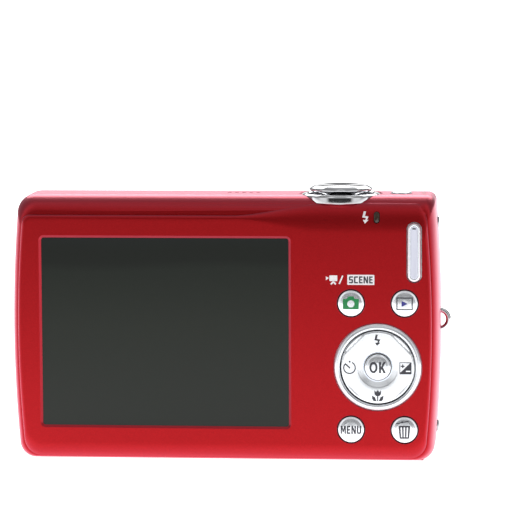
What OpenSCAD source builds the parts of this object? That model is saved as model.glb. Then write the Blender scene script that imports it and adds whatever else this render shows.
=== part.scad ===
// Compact digital camera with a 2.5 inch monitor, a retracting zoom lens and a four-way selector.
// The camera stands on its base with its back towards -Y and its lens towards +Y.
// The origin is the mouth of the tripod socket, in the middle of the base.

/* [Body] */
// Width across the bulged sides
body_w = 89.5; // [88.5:0.5:94]
// Height from the base to the top face
body_h = 55.5; // [55.5:0.5:58]
// Depth from the back face to the front face
body_d = 18; // [18:0.1:18.4]
// Thickness of the pressed covers
wall = 0.9; // [0.7:0.1:1]
// How far each side bows out at mid height
side_bulge = 1; // [0.4:0.1:1.4]
// Height of the raised back panel on the monitor's side
panel_low = 51.5; // [50.5:0.1:52]
// Height of the raised back panel on the shutter's side
panel_high = 54.1; // [53.4:0.1:54.4]

/* [Monitor] */
// Width of the visible window
monitor_w = 51.7; // [48:0.1:52]
// Height of the visible window
monitor_h = 39.4; // [36:0.1:39.8]
// Centre of the window across the body
monitor_x = -12.3; // [-12.6:0.1:-11.9]
// Centre of the window above the base
monitor_z = 27.1; // [26.8:0.1:27.4]

/* [Keys] */
// Diameter of the four round keys
key_d = 5.5; // [5:0.1:5.8]
// Column of the mode and menu keys
key_left = 26.5; // [26:0.1:27]
// Column of the playback and delete keys
key_right = 37.6; // [37:0.1:38]
// Row of the mode and playback keys
key_upper = 33.4; // [33:0.1:34]
// Row of the menu and delete keys
key_lower = 7; // [6.8:0.1:7.4]
// Diameter of the fixed ring around the selector
selector_d = 18.2; // [17.8:0.1:18.6]
// Length of the zoom rocker
rocker_l = 12.2; // [11:0.1:12.6]
// Width of the zoom rocker
rocker_w = 2.7; // [2.4:0.1:3]

/* [Top controls] */
// Place of the shutter button across the body
shutter_x = 23.9; // [23.5:0.1:24.3]
// Diameter of the shutter button
shutter_d = 13.4; // [12:0.1:13.5]
// Full travel of the shutter button
shutter_travel = 1; // [0.6:0.1:1]

/* [Lens] */
// Lens axis across the body
lens_x = -14.5; // [-15:0.1:-14.2]
// Lens axis above the base
lens_z = 27; // [26.6:0.1:27.4]
// Outer radius of the fixed trim ring
lens_ring_r = 16.6; // [16:0.1:17.4]
// Radius of the clear opening that the two blades cover
iris_r = 4.6; // [4:0.1:4.6]

/* [Battery and card] */
// Width of the battery
battery_w = 31.6; // [30:0.1:31.6]
// Thickness of the battery
battery_t = 6; // [5:0.1:6]
// Height of the battery
battery_l = 39.8; // [36:0.1:39.8]

/* [Hidden] */
$fn = 64;

// Colours
red_paint = [0.70, 0.06, 0.09];
silver = [0.86, 0.87, 0.89];
pearl = [0.93, 0.95, 0.98];
chrome = [0.80, 0.80, 0.82];
black = [0.06, 0.06, 0.07];
glass = [0.16, 0.18, 0.17];
board_green = [0.07, 0.30, 0.18];
gold = [0.80, 0.65, 0.28];

// Body sections
eps = 0.01;
gap = 0.04;
half_w = body_w / 2;
back_y = -body_d / 2;
front_y = body_d / 2;
seam_y = -3;
front_round = 3;
shoulder_end = back_y + 0.9;
corner_steps = 6;
side_steps = 6;
wave_steps = 18;
wave_start = 2;
wave_end = 21;
front_inset = 2.6;
panel_inset = 1.55;

// Keys
key_face = back_y - 0.45;
cover_inner = back_y + 1;
key_clearance = 0.15;
selector_x = (key_left + key_right) / 2;
selector_z = (key_upper + key_lower) / 2 - 0.1;
selector_r = selector_d / 2 - 1.5;
ok_r = 2.68;
rocker_x = 39.55;
rocker_z = 44;
lamp_x = 31.8;
lamp_z = 51.2;

// Top
shutter_r = shutter_d / 2;
collar_r = 8.35;
recess_floor = body_h - 1.7;
power_x = 36.5;
power_y = 0.5;

// Lens
base_r = 16.2;
cam_teeth = 74;
idler_teeth = 16;
compound_small = 10;
compound_large = 22;
pinion_teeth = 8;
tooth_module = 0.4;
mesh_play = 0.1;
idler_angle = -35;
compound_angle = -60;
pinion_angle = -170;
idler_x = lens_x + centres(cam_teeth, idler_teeth) * cos(idler_angle);
idler_z = lens_z + centres(cam_teeth, idler_teeth) * sin(idler_angle);
compound_x = idler_x + centres(idler_teeth, compound_small) * cos(compound_angle);
compound_z = idler_z + centres(idler_teeth, compound_small) * sin(compound_angle);
pinion_x = compound_x + centres(compound_large, pinion_teeth) * cos(pinion_angle);
pinion_z = compound_z + centres(compound_large, pinion_teeth) * sin(pinion_angle);
cam_phase = idler_angle;
idler_phase = gap_phase(idler_angle + 180, idler_teeth);
compound_phase = gap_phase(compound_angle + 180, compound_small)
    + tooth_shift(idler_phase, compound_angle, idler_teeth, compound_small);
pinion_phase = gap_phase(pinion_angle + 180, pinion_teeth)
    + tooth_shift(compound_phase, pinion_angle, compound_large, pinion_teeth);
focus_rod = 7;
blade_pivot = 8.2;
blade_r = iris_r + 0.4;

// Battery bay and door
bay_left = 9.4;
bay_right = 41.4;
bay_y0 = 0.5;
bay_y1 = 7.1;
battery_x0 = (bay_left + bay_right - battery_w) / 2;
battery_y0 = (bay_y0 + bay_y1 - battery_t) / 2;
battery_z0 = 2.6;
door_x0 = 9.3;
door_x1 = 41.5;
door_y0 = -5.2;
door_axis_y = 6.4;
door_axis_z = 0.75;
door_t = 1.1;
connector_x = -27;
speaker_x = 3.5;
flash_x = 9;
flash_z = 47.2;
af_x = 21;
lug_z = 29;
lug_y = 1.5;
side_screw_z = [6.5, 49.4];
side_screw_y = 1.5;
base_screws_at = [[-39, 3], [-13, -4.5], [-13, 4.5]];

// Pitch radius of a gear, and the distance between two that mesh
function pitch(teeth) = teeth * tooth_module / 2;
function centres(a, b) = pitch(a) + pitch(b) + mesh_play;
// The turn that puts a gap of a gear at a given angle
function gap_phase(angle, teeth) = angle + 180 / teeth;
// How far the driven gear turns so that its gap faces the driving gear's nearest tooth
function tooth_shift(phase, angle, driver, driven) =
    let (off = (angle - phase) * driver / 360, part = off - round(off)) part * 360 / driven;

// Smooth step from 0 to 1 across the wave of the raised panel
function wave(x) =
    let (t = max(0, min(1, (x - wave_start) / (wave_end - wave_start)))) t * t * (3 - 2 * t);
function mix(a, b, t) = a + (b - a) * t;
// Quarter-round inset: 0 at t = 0, 1 at t = 1
function round_in(t) = 1 - sqrt(1 - min(1, max(0, t)) ^ 2);

function arc(cx, cz, r, from) =
    [for (i = [0:corner_steps]) let (a = from + 90 * i / corner_steps) [cx + r * cos(a), cz + r * sin(a)]];
// Points of a bowed side between two heights, at the given edge
function bow(x, z0, z1, out) =
    [for (i = [1:side_steps - 1]) let (t = i / side_steps) [x + out * 4 * t * (1 - t), mix(z0, z1, t)]];
// Section of the body seen from behind, inset at its sides, top and bottom, with its corner radii
function section(side, top, bottom, r_low, r_left, r_right) =
    let (x = half_w - side_bulge - side, z0 = bottom, z1 = body_h - top)
    concat(
        bow(x, z0 + r_low, z1 - r_right, side_bulge), arc(x - r_right, z1 - r_right, r_right, 0),
        arc(-x + r_left, z1 - r_left, r_left, 90), bow(-x, z1 - r_left, z0 + r_low, -side_bulge),
        arc(-x + r_low, z0 + r_low, r_low, 180), arc(x - r_low, z0 + r_low, r_low, 270));
// Outer section at depth y: full size between the front rounding and the seam
function outer_section(y) =
    let (
        f = front_inset * round_in((y - (front_y - front_round)) / front_round),
        s = round_in((seam_y - y) / (seam_y - shoulder_end)))
    section(f + 1.5 * s, f + 3.9 * s, f + 0.9 * s, 3.4, 3.8, 1.8);
// Section of the raised back panel at depth y
function panel_section(y) =
    let (
        edge = 0.6 * round_in((back_y + 0.6 - y) / 0.6),
        low = 0.35 + 3.4 * round_in((back_y + 1.9 - y) / 1.9),
        x = half_w - side_bulge - panel_inset - edge,
        r = 3.6)
    concat(
        bow(x, low + r, panel_top(x, y) - 2.4, side_bulge), arc(x - 2.4, panel_top(x, y) - 2.4, 2.4, 0),
        [for (i = [1:wave_steps - 1]) let (px = mix(x - 2.4, 1.6 - x, i / wave_steps)) [px, panel_top(px, y)]],
        arc(-x + 1.6, panel_top(-x, y) - 1.6, 1.6, 90), bow(-x, panel_top(-x, y) - 1.6, low + r, -side_bulge),
        arc(-x + r, low + r, r, 180), arc(x - r, low + r, r, 270));
// Upper edge of the raised panel at a place across the body and a depth
function panel_top(x, y) =
    let (w = wave(x), dy = mix(0.6, 2.4, w), dz = mix(0.7, 6, w))
    mix(panel_low, panel_high, w) - dz * round_in((back_y + dy - y) / dy);

module box(x0, x1, y0, y1, z0, z1) translate([x0, y0, z0]) cube([x1 - x0, y1 - y0, z1 - z0]);
// A flat drawing in x and z, made solid between two depths
module plate(y0, y1) translate([0, y1, 0]) rotate([90, 0, 0]) linear_extrude(y1 - y0) children();
// A revolved drawing of radius and depth, about an axis along Y
module turned(x, z) translate([x, 0, z]) rotate([-90, 0, 0]) rotate_extrude() children();
module rod_y(x, z, r, y0, y1) translate([x, y0, z]) rotate([-90, 0, 0]) cylinder(r = r, h = y1 - y0);
module rod_x(y, z, r, x0, x1) translate([x0, y, z]) rotate([0, 90, 0]) cylinder(r = r, h = x1 - x0);
module rod_z(x, y, r, z0, z1) translate([x, y, z0]) cylinder(r = r, h = z1 - z0);
// A block with rounded corners seen along Y, centred at x and z
module pad(x, z, w, h, r, y0, y1)
    hull() for (i = [-1, 1], j = [-1, 1]) rod_y(x + i * (w / 2 - r), z + j * (h / 2 - r), r, y0, y1, $fn = 24);
// Skin through sections at successive depths, as hulls between neighbours
module loft(depths, sections)
    for (i = [0:len(depths) - 2]) hull() {
        translate([0, depths[i], 0]) rotate([90, 0, 0]) linear_extrude(eps, center = true) polygon(sections[i]);
        translate([0, depths[i + 1], 0]) rotate([90, 0, 0]) linear_extrude(eps, center = true) polygon(sections[i + 1]);
    }
// Skin through sections that are not convex, as one closed polyhedron
module skin(depths, sections) {
    n = len(sections[0]);
    last = len(depths) - 1;
    points = [for (i = [0:last]) for (p = sections[i]) [p[0], depths[i], p[1]]];
    walls = [for (i = [0:last - 1]) for (j = [0:n - 1])
        let (a = i * n + j, b = i * n + (j + 1) % n) each [[a, b, b + n], [a, b + n, a + n]]];
    caps = [[for (j = [n - 1:-1:0]) j], [for (j = [0:n - 1]) last * n + j]];
    polyhedron(points, concat(walls, caps));
}

module body_solid() {
    depths = [front_y, front_y - 0.15, front_y - 0.5, front_y - 1.1, front_y - 1.9, front_y - front_round,
        seam_y, seam_y - 1.6, seam_y - 2.9, seam_y - 4, seam_y - 4.7, shoulder_end];
    loft(depths, [for (y = depths) outer_section(y)]);
    panel_depths = [back_y, back_y + 0.05, back_y + 0.2, back_y + 0.4, back_y + 0.7, back_y + 1.2, back_y + 1.8,
        back_y + 2.5];
    skin(panel_depths, [for (y = panel_depths) panel_section(y)]);
}
module cavity() {
    depths = [front_y - wall, front_y - wall - 0.5, front_y - wall - 1.5, front_y - wall - 3, seam_y,
        seam_y - 2, seam_y - 3.5, seam_y - 4.4, cover_inner];
    insets = [[3.4, 3.4, 3.4], [1.9, 1.9, 1.9], [1.15, 1.15, 1.15], [wall, wall, wall], [wall, wall, wall],
        [wall + 0.3, wall + 0.6, wall + 0.3], [wall + 0.8, wall + 2.1, wall + 0.9],
        [wall + 1.3, wall + 4, wall + 1.9], [wall + 1.7, wall + 5.8, wall + 3.4]];
    loft(depths, [for (i = insets) section(i[0], i[1], i[2], 2.4, 2.8, 1.2)]);
}
// The round recess in the top that holds the shutter collar
module collar_recess() {
    rod_z(shutter_x, 0, collar_r + 0.1, recess_floor, body_h + 5);
    rod_z(shutter_x, 0, 7.5, body_h - 4, body_h);
}
// The opening in the base for the battery door and its hinge
module door_opening() {
    box(door_x0 - 1.4, door_x1 + 0.15, door_y0 - 0.15, door_axis_y, -1, wall + 0.6);
    rod_x(door_axis_y, door_axis_z, 0.9, door_x0 - 1.4, door_x1 + 0.15);
    box(door_x0 - 1.4, door_x1 + 0.15, door_axis_y - 0.1, door_axis_y + 1.05, -1, door_axis_z);
}
module base_openings() {
    rod_z(0, 0, 5.3, -1, 2);
    door_opening();
    for (p = base_screws_at) {
        rod_z(p[0], p[1], 0.75, -1, 3, $fn = 24);
        rod_z(p[0], p[1], 1.35, -1, 0.5, $fn = 32);
    }
}
module side_screw_holes() for (s = [-1, 1], z = side_screw_z) {
    rod_x(side_screw_y, z, 0.75, s * 44 - 3, s * 44 + 3);
    rod_x(side_screw_y, z, 1.35, s > 0 ? 43.5 : -46, s > 0 ? 46 : -43.5);
}

module front_cover() color(red_paint) difference() {
    union() {
        intersection() {
            difference() {
                body_solid();
                cavity();
            }
            box(-60, 60, seam_y + gap, 20, -5, 70);
        }
        box(5.4, door_x0 - 1.5, 5.6, 7.4, wall - 0.1, 1.9);
        box(door_x1 + 0.25, door_x1 + 1.5, 5.6, 7.4, wall - 0.1, 1.9);
    }
    rod_y(lens_x, lens_z, 15, front_y - 3, front_y + 2);
    pad(flash_x, flash_z, 13.2, 6.2, 0.8, front_y - 3, front_y + 1);
    rod_y(af_x, flash_z, 2.1, front_y - 3, front_y + 1);
    for (i = [0:2]) rod_y(-38 + 1.6 * i, 47.5, 0.4, front_y - 3, front_y + 1, $fn = 16);
    collar_recess();
    rod_z(power_x, power_y, 2.35, body_h - 2, body_h + 1);
    rod_z(41.2, 1, 0.55, body_h - 2, body_h + 1, $fn = 24);
    for (i = [-2:2]) rod_z(speaker_x + 1.5 * i, 1, 0.4, body_h - 2, body_h + 1, $fn = 16);
    hull() for (i = [-1, 1]) rod_z(connector_x + i * 3.8, 0, 2, -1, 2, $fn = 32);
    base_openings();
    rod_x(door_axis_y, door_axis_z, 0.4, 6.6, 43, $fn = 24);
    side_screw_holes();
    for (s = [-1, 1]) rod_x(lug_y, lug_z + 2 * s, 0.65, 42, 46, $fn = 24);
}

module rear_cover() color(red_paint) difference() {
    intersection() {
        difference() {
            body_solid();
            cavity();
        }
        box(-60, 60, -20, seam_y - gap, -5, 70);
    }
    pad(monitor_x, monitor_z, monitor_w, monitor_h, 0.7, back_y - 1, cover_inner + 1);
    pad(monitor_x, monitor_z, monitor_w + 1.8, monitor_h + 1.8, 1.2, back_y + 0.45, cover_inner + 1);
    pad(rocker_x, rocker_z, rocker_w + 0.3, rocker_l + 0.3, rocker_w / 2 + 0.14, back_y - 1, cover_inner + 1);
    pad(rocker_x, rocker_z, rocker_w + 1.2, rocker_l + 1.2, rocker_w / 2 + 0.58, cover_inner - 0.02, cover_inner + 3);
    pad(lamp_x, lamp_z, 1.3, 2.5, 0.64, back_y - 1, cover_inner + 3);
    pad(lamp_x, lamp_z, 2.3, 3.5, 1.1, cover_inner + 0.35, cover_inner + 3);
    rod_y(selector_x, selector_z, selector_d / 2 + 0.05, back_y - 1, cover_inner + 1);
    for (x = [key_left, key_right], z = [key_lower, key_upper]) {
        rod_y(x, z, key_d / 2 + key_clearance, back_y - 1, cover_inner + 1, $fn = 48);
        rod_y(x, z, key_d / 2 + 0.8, cover_inner - 0.02, cover_inner + 2, $fn = 48);
    }
    collar_recess();
    base_openings();
}

module monitor_window() color(glass)
    pad(monitor_x, monitor_z, monitor_w + 1.5, monitor_h + 1.5, 1, back_y + 0.5, back_y + 1.15);
module monitor_panel() color(black)
    box(monitor_x - 27, monitor_x + 27, back_y + 1.3, back_y + 2.6, monitor_z - 20.7, monitor_z + 20.7);
module monitor_frame() color(chrome) difference() {
    box(monitor_x - 27.4, monitor_x + 27.4, back_y + 2.65, back_y + 4.2, monitor_z - 21.1, monitor_z + 21.1);
    box(monitor_x - 25, monitor_x + 25, back_y + 2.6, back_y + 3.4, monitor_z - 19, monitor_z + 19);
}

module selector_bezel() color(silver) turned(selector_x, selector_z) difference() {
    polygon([
        [selector_r + 0.15, cover_inner], [selector_r + 0.15, back_y - 0.1], [selector_r + 0.3, back_y - 0.25],
        [selector_r + 0.85, back_y - 0.4], [selector_d / 2 - 0.3, back_y - 0.25], [selector_d / 2, back_y + 0.05],
        [selector_d / 2, cover_inner + 0.05], [selector_d / 2 + 0.8, cover_inner + 0.05],
        [selector_d / 2 + 0.8, cover_inner + 0.4], [selector_r + 0.9, cover_inner + 0.4],
        [selector_r + 0.9, cover_inner]]);
}
module flash_lamp() color([0.28, 0.20, 0.12]) {
    pad(lamp_x, lamp_z, 1.1, 2.3, 0.54, back_y + 0.35, cover_inner + 0.4);
    pad(lamp_x, lamp_z, 2.1, 3.3, 1, cover_inner + 0.4, cover_inner + 0.8);
}

module shutter_collar() color(chrome) translate([shutter_x, 0, 0]) rotate_extrude() polygon([
    [2.25, body_h - 3], [7.3, body_h - 3], [7.3, recess_floor + 0.05], [collar_r, recess_floor + 0.05],
    [collar_r, body_h - 0.3], [collar_r - 0.3, body_h], [shutter_r + 0.55, body_h + 0.15], [shutter_r + 0.25, body_h],
    [shutter_r + 0.25, body_h - 2.2], [2.25, body_h - 2.2]]);
module shutter_button() color(chrome) translate([shutter_x, 0, 0]) rotate_extrude() polygon([
    [0, body_h - 2.9], [2, body_h - 2.9], [2, body_h - 0.1], [5.2, body_h + 0.15], [shutter_r - 0.35, body_h + 0.65],
    [shutter_r, body_h + 0.95], [shutter_r - 0.1, body_h + 1.15], [shutter_r - 0.6, body_h + 1.5],
    [shutter_r - 1.6, body_h + 1.85], [shutter_r - 2.6, body_h + 1.9], [3, body_h + 1.7], [0, body_h + 1.6]]);
// Light coil spring under the button, in one closed sweep
module shutter_spring() color(chrome) {
    turns = 4;
    steps = 20;
    sides = 8;
    wire = 0.16;
    coil = 2.75;
    low = body_h - 2.2 + wire + 0.02;
    high = body_h - 0.1 - wire - 0.02;
    rings = turns * steps;
    points = [for (i = [0:rings]) for (j = [0:sides - 1])
        let (a = 360 * i / steps, b = 360 * j / sides, r = coil + wire * cos(b))
        [shutter_x + r * cos(a), r * sin(a), mix(low, high, i / rings) + wire * sin(b)]];
    walls = [for (i = [0:rings - 1]) for (j = [0:sides - 1])
        let (a = i * sides + j, b = i * sides + (j + 1) % sides) each [[a, b + sides, b], [a, a + sides, b + sides]]];
    caps = [[for (j = [0:sides - 1]) j], [for (j = [sides - 1:-1:0]) rings * sides + j]];
    polyhedron(points, concat(walls, caps));
}
module power_button() color(chrome) translate([power_x, power_y, 0]) rotate_extrude() polygon([
    [0, body_h - 2.9], [1, body_h - 2.9], [1, body_h - 1.5], [2.8, body_h - 1.5], [2.8, body_h - 1], [2.2, body_h - 1],
    [2.2, body_h + 0.15], [2, body_h + 0.35], [1.4, body_h + 0.35], [1.2, body_h + 0.25], [0, body_h + 0.2]]);
module power_lamp() color([0.35, 0.75, 0.35]) rod_z(41.2, 1, 0.45, body_h - 1.6, body_h + 0.05, $fn = 24);
module top_switches() color(black) {
    box(shutter_x - 4, power_x + 3, -3, 4, body_h - 5.1, body_h - 4.7);
    rod_z(shutter_x, 0, 1.6, body_h - 4.7, body_h - 3.95);
    rod_z(power_x, power_y, 1.4, body_h - 4.7, body_h - 3.3);
}

module strap_lug() color(chrome) {
    translate([half_w - 0.4, lug_y, lug_z]) rotate([90, 0, 0]) rotate([0, 0, -90])
        rotate_extrude(angle = 180) translate([2, 0]) circle(0.55, $fn = 24);
    for (s = [-1, 1]) rod_x(lug_y, lug_z + 2 * s, 0.55, half_w - 1.4, half_w - 0.4, $fn = 24);
    box(half_w - 2.1, half_w - 1.3, lug_y - 1.6, lug_y + 1.6, lug_z - 3.6, lug_z + 3.6);
}
// Cross-head screw along +Z with the underside of its head at the origin
module screw(head_r, head_h, shank_r, shank_l) difference() {
    union() {
        cylinder(r = head_r, h = head_h, $fn = 32);
        translate([0, 0, -shank_l]) cylinder(r = shank_r, h = shank_l, $fn = 24);
    }
    for (a = [0, 90]) rotate([0, 0, a]) translate([-head_r * 0.7, -0.18, head_h - 0.35]) cube([head_r * 1.4, 0.36, 1]);
}
module side_screws() color(silver) for (s = [-1, 1], z = side_screw_z)
    translate([s * 43.52, side_screw_y, z]) rotate([0, s * 90, 0]) screw(1.25, 0.5, 0.7, 1.5);
module base_screws() color(silver) for (p = base_screws_at)
    translate([p[0], p[1], 0.5]) rotate([180, 0, 0]) screw(1.25, 0.45, 0.7, 2.4);

module tripod_socket() color(silver) difference() {
    union() {
        rod_z(0, 0, 5.2, 0, 0.85);
        rod_z(0, 0, 4.4, 0.85, 6.4);
    }
    rod_z(0, 0, 2.6, -1, 5.6);
}
module cable_connector() color(chrome) {
    difference() {
        hull() for (i = [-1, 1]) rod_z(connector_x + i * 3.8, 0, 1.9, 0.4, 6.4, $fn = 32);
        hull() for (i = [-1, 1]) rod_z(connector_x + i * 3.8, 0, 1.5, -1, 5.6, $fn = 32);
    }
    box(connector_x - 3.4, connector_x + 3.4, -0.4, 0.4, 1.4, 5.8);
}
module speaker() color(black) difference() {
    box(speaker_x - 6, speaker_x + 6, -2.4, 4.4, body_h - 3.9, body_h - 1.1);
    translate([speaker_x, 1, body_h - 1.9]) cylinder(r = 2.6, h = 2);
}

module inner_chassis() color([0.20, 0.20, 0.22]) {
    difference() {
        box(bay_left - 0.6, bay_right + 0.6, bay_y0 - 0.6, bay_y1 + 0.6, 2.5, 43.5);
        box(bay_left, bay_right, bay_y0, bay_y1, 1, 42.9);
    }
    // Floor frame beside the tripod socket, with the bosses that take the base screws
    difference() {
        union() {
            box(-42.2, bay_left - 0.5, -2.6, 1.4, 1.7, 2.6);
            for (p = base_screws_at) rod_z(p[0], p[1], 1.6, 1.7, 3.6, $fn = 32);
            box(-40, -12, 2, 4.5, 1.7, 2.5);
            box(-14, -12, -4.5, 0, 1.7, 2.5);
        }
        rod_z(0, 0, 4.6, 1, 4);
        box(connector_x - 6, connector_x + 6, -2.1, 2.1, 1, 4);
        for (p = base_screws_at) rod_z(p[0], p[1], 0.72, 1, 4, $fn = 24);
    }
    // Posts at both sides with the blocks that take the side screws
    difference() {
        union() {
            box(-42.6, -41.8, -0.5, 2.6, 2.3, 51.4);
            box(41.2, 42, -0.1, 3.5, 43.4, 51.4);
            for (s = [-1, 1], z = side_screw_z)
                box(s > 0 ? 41.3 : -42.8, s > 0 ? 42.8 : -41.3, -0.5, 3.5, z - 2, z + 2);
        }
        for (s = [-1, 1], z = side_screw_z) rod_x(side_screw_y, z, 0.72, s * 42.5 - 3, s * 42.5 + 3, $fn = 24);
        box(bay_left, bay_right, bay_y0, bay_y1, 1, 42.9);
    }
    // Shelf above the slot that the door slides into
    box(bay_left - 1.9, bay_left + 0.5, -5, 0.4, 1.25, 1.6);
    box(bay_left - 1.9, bay_left - 0.6, -2.6, 0.4, 1.5, 2);
}
module card_slot() color(chrome) difference() {
    box(12.4, 37.8, -4.1, -0.5, 2.6, 36.2);
    box(13, 37.2, -3.6, -1.2, 1, 35.6);
    box(19, 31, -1.5, 0, 12, 28);
}
module battery_contacts() color(gold) for (i = [0:2])
    box(30 + 2.6 * i, 31.4 + 2.6 * i, 2.2, 5.2, 42.45, 42.85);
module main_board() {
    color(board_green) box(15.8, 41.4, -5.3, -4.5, 3.2, 49.4);
    color(black) {
        box(21, 32, -4.5, -3.2, 38, 47);
        box(34, 40, -4.5, -3.5, 38.5, 45);
        box(38.6, 41, -4.5, -3.6, 8, 30);
    }
}
module key_board() color([0.78, 0.56, 0.20])
    box(22.6, 41.6, -6.6, -6.2, 3.4, 50.2);
function dome_places() = [
    [key_left, key_upper], [key_right, key_upper], [key_left, key_lower], [key_right, key_lower],
    [selector_x, selector_z], [selector_x - 5.3, selector_z], [selector_x + 5.3, selector_z],
    [selector_x, selector_z - 5.3], [selector_x, selector_z + 5.3],
    [rocker_x, rocker_z - 4], [rocker_x, rocker_z + 4]];
module key_domes() color(silver) for (p = dome_places())
    turned(p[0], p[1]) polygon([[0, -6.88], [0.6, -6.84], [1.2, -6.72], [1.6, -6.61], [0, -6.61]]);

// Round key: cap, flange behind the cover and a short stem
module round_key(x, z, r, face) turned(x, z) polygon([
    [0, face + 0.05], [r * 0.55, face], [r - 0.35, face + 0.1], [r - 0.08, face + 0.3], [r, face + 0.6],
    [r, cover_inner + 0.1], [r + 0.6, cover_inner + 0.1], [r + 0.6, cover_inner + 0.5], [1, cover_inner + 0.5],
    [1, -7.2], [0, -7.2]]);
module mode_button() color(pearl) round_key(key_left, key_upper, key_d / 2, key_face);
module playback_button() color(pearl) round_key(key_right, key_upper, key_d / 2, key_face);
module menu_button() color(pearl) round_key(key_left, key_lower, key_d / 2, key_face);
module delete_button() color(pearl) round_key(key_right, key_lower, key_d / 2, key_face);
module ok_button() color(pearl) turned(selector_x, selector_z) polygon([
    [0, back_y - 0.5], [1.9, back_y - 0.48], [ok_r - 0.2, back_y - 0.3], [ok_r, back_y - 0.05], [ok_r, -7.2], [0, -7.2]]);
module multi_selector() color(pearl) turned(selector_x, selector_z) polygon([
    [ok_r + 0.17, back_y + 0.25], [ok_r + 0.9, back_y - 0.1], [ok_r + 1.7, back_y - 0.22],
    [selector_r - 0.6, back_y - 0.22], [selector_r - 0.1, back_y - 0.05], [selector_r, back_y + 0.2],
    [selector_r, -7.5], [selector_r + 0.7, -7.5], [selector_r + 0.7, -7.2], [selector_r - 1.2, -7.2],
    [selector_r - 1.2, -7.3], [6, -7.3], [6, -7.12], [4.6, -7.12], [4.6, -7.35], [ok_r + 0.17, -7.35]]);
module selector_seat() color([0.25, 0.25, 0.26]) turned(selector_x, selector_z)
    polygon([[2.9, -7.12], [3.6, -7.12], [3.6, -6.78], [2.9, -6.78]]);
module zoom_rocker() color(pearl) {
    difference() {
        hull() {
            pad(rocker_x, rocker_z, rocker_w, rocker_l, rocker_w / 2 - 0.01, back_y - 0.15, -7.5);
            pad(rocker_x, rocker_z, rocker_w - 0.5, rocker_l - 0.5, rocker_w / 2 - 0.26, back_y - 0.5, -7.5);
        }
        pad(rocker_x, rocker_z, 1.6, rocker_l - 1.5, 0.78, back_y - 1, back_y - 0.3);
    }
    pad(rocker_x, rocker_z, rocker_w + 0.8, rocker_l + 0.8, rocker_w / 2 + 0.38, -7.55, -7.25);
    for (s = [-1, 1]) rod_y(rocker_x, rocker_z + 4 * s, 0.6, -7.3, -7.1, $fn = 24);
    rod_x(-7.35, rocker_z, 0.2, rocker_x - 2.4, rocker_x + 2.4, $fn = 16);
}

// A gear drawn in x and z with a tooth centred at the given angle
module gear_2d(teeth, phase, root_trim = 0.5) {
    r = pitch(teeth);
    polygon([for (i = [0:teeth - 1]) for (k = [[-0.3, -root_trim], [-0.12, 0.32], [0.12, 0.32], [0.3, -root_trim]])
        let (a = phase + (i + k[0]) * 360 / teeth, q = r + k[1]) [q * cos(a), q * sin(a)]]);
}
module gear_at(x, z, teeth, phase, y0, y1) plate(y0, y1) translate([x, z]) gear_2d(teeth, phase);
module lens_base() color(black) {
    difference() {
        union() {
            rod_y(lens_x, lens_z, base_r, -3.6, 8);
            box(pinion_x - 5, pinion_x - 0.5, 2, 7, pinion_z + 1.6, pinion_z + 5);
            plate(-3.6, -2.7) {
                translate([idler_x, idler_z]) circle(4.2);
                translate([compound_x, compound_z]) circle(5.2);
                translate([pinion_x, pinion_z]) circle(3.4);
            }
        }
        rod_y(lens_x, lens_z, 14.5, -2.6, 9);
        rod_y(lens_x, lens_z, 15.5, -2.6, -0.4);
        box(lens_x - 4.6, lens_x + 4.6, -4, -2, lens_z - 3.8, lens_z + 3.8);
        rod_y(idler_x, idler_z, 4, -2.6, -0.2);
        rod_y(pinion_x, pinion_z, 3, 0, 9);
    }
    rod_y(idler_x, idler_z, 0.45, -3, -0.5, $fn = 24);
    rod_y(compound_x, compound_z, 0.45, -3, 1, $fn = 24);
    for (s = [-1, 1]) rod_y(lens_x + s * focus_rod, lens_z, 0.4, -3, 1, $fn = 24);
}
module cam_ring() color([0.13, 0.13, 0.14]) difference() {
    union() {
        rod_y(lens_x, lens_z, 14.3, -2.4, 7.6);
        gear_at(lens_x, lens_z, cam_teeth, cam_phase, -2.2, -0.8);
    }
    rod_y(lens_x, lens_z, 13.55, -3, 9);
}
module idler_gear() color(pearl) difference() {
    gear_at(idler_x, idler_z, idler_teeth, idler_phase, -2.2, -0.8);
    rod_y(idler_x, idler_z, 0.5, -3, 0, $fn = 24);
}
module compound_gear() color(pearl) difference() {
    union() {
        gear_at(compound_x, compound_z, compound_small, compound_phase, -2.2, -0.1);
        gear_at(compound_x, compound_z, compound_large, compound_phase, -0.15, 0.7);
    }
    rod_y(compound_x, compound_z, 0.5, -3, 2, $fn = 24);
}
module motor_pinion() color(gold) union() {
    gear_at(pinion_x, pinion_z, pinion_teeth, pinion_phase, -0.2, 0.8);
    rod_y(pinion_x, pinion_z, 0.35, -0.9, 1.1, $fn = 24);
}
module zoom_motor() color(silver) difference() {
    union() {
        rod_y(pinion_x, pinion_z, 3, 1.3, 7.6);
        rod_y(pinion_x, pinion_z, 1, 1.1, 1.3);
    }
    rod_y(pinion_x, pinion_z, 0.42, 0, 2, $fn = 24);
}

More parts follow.
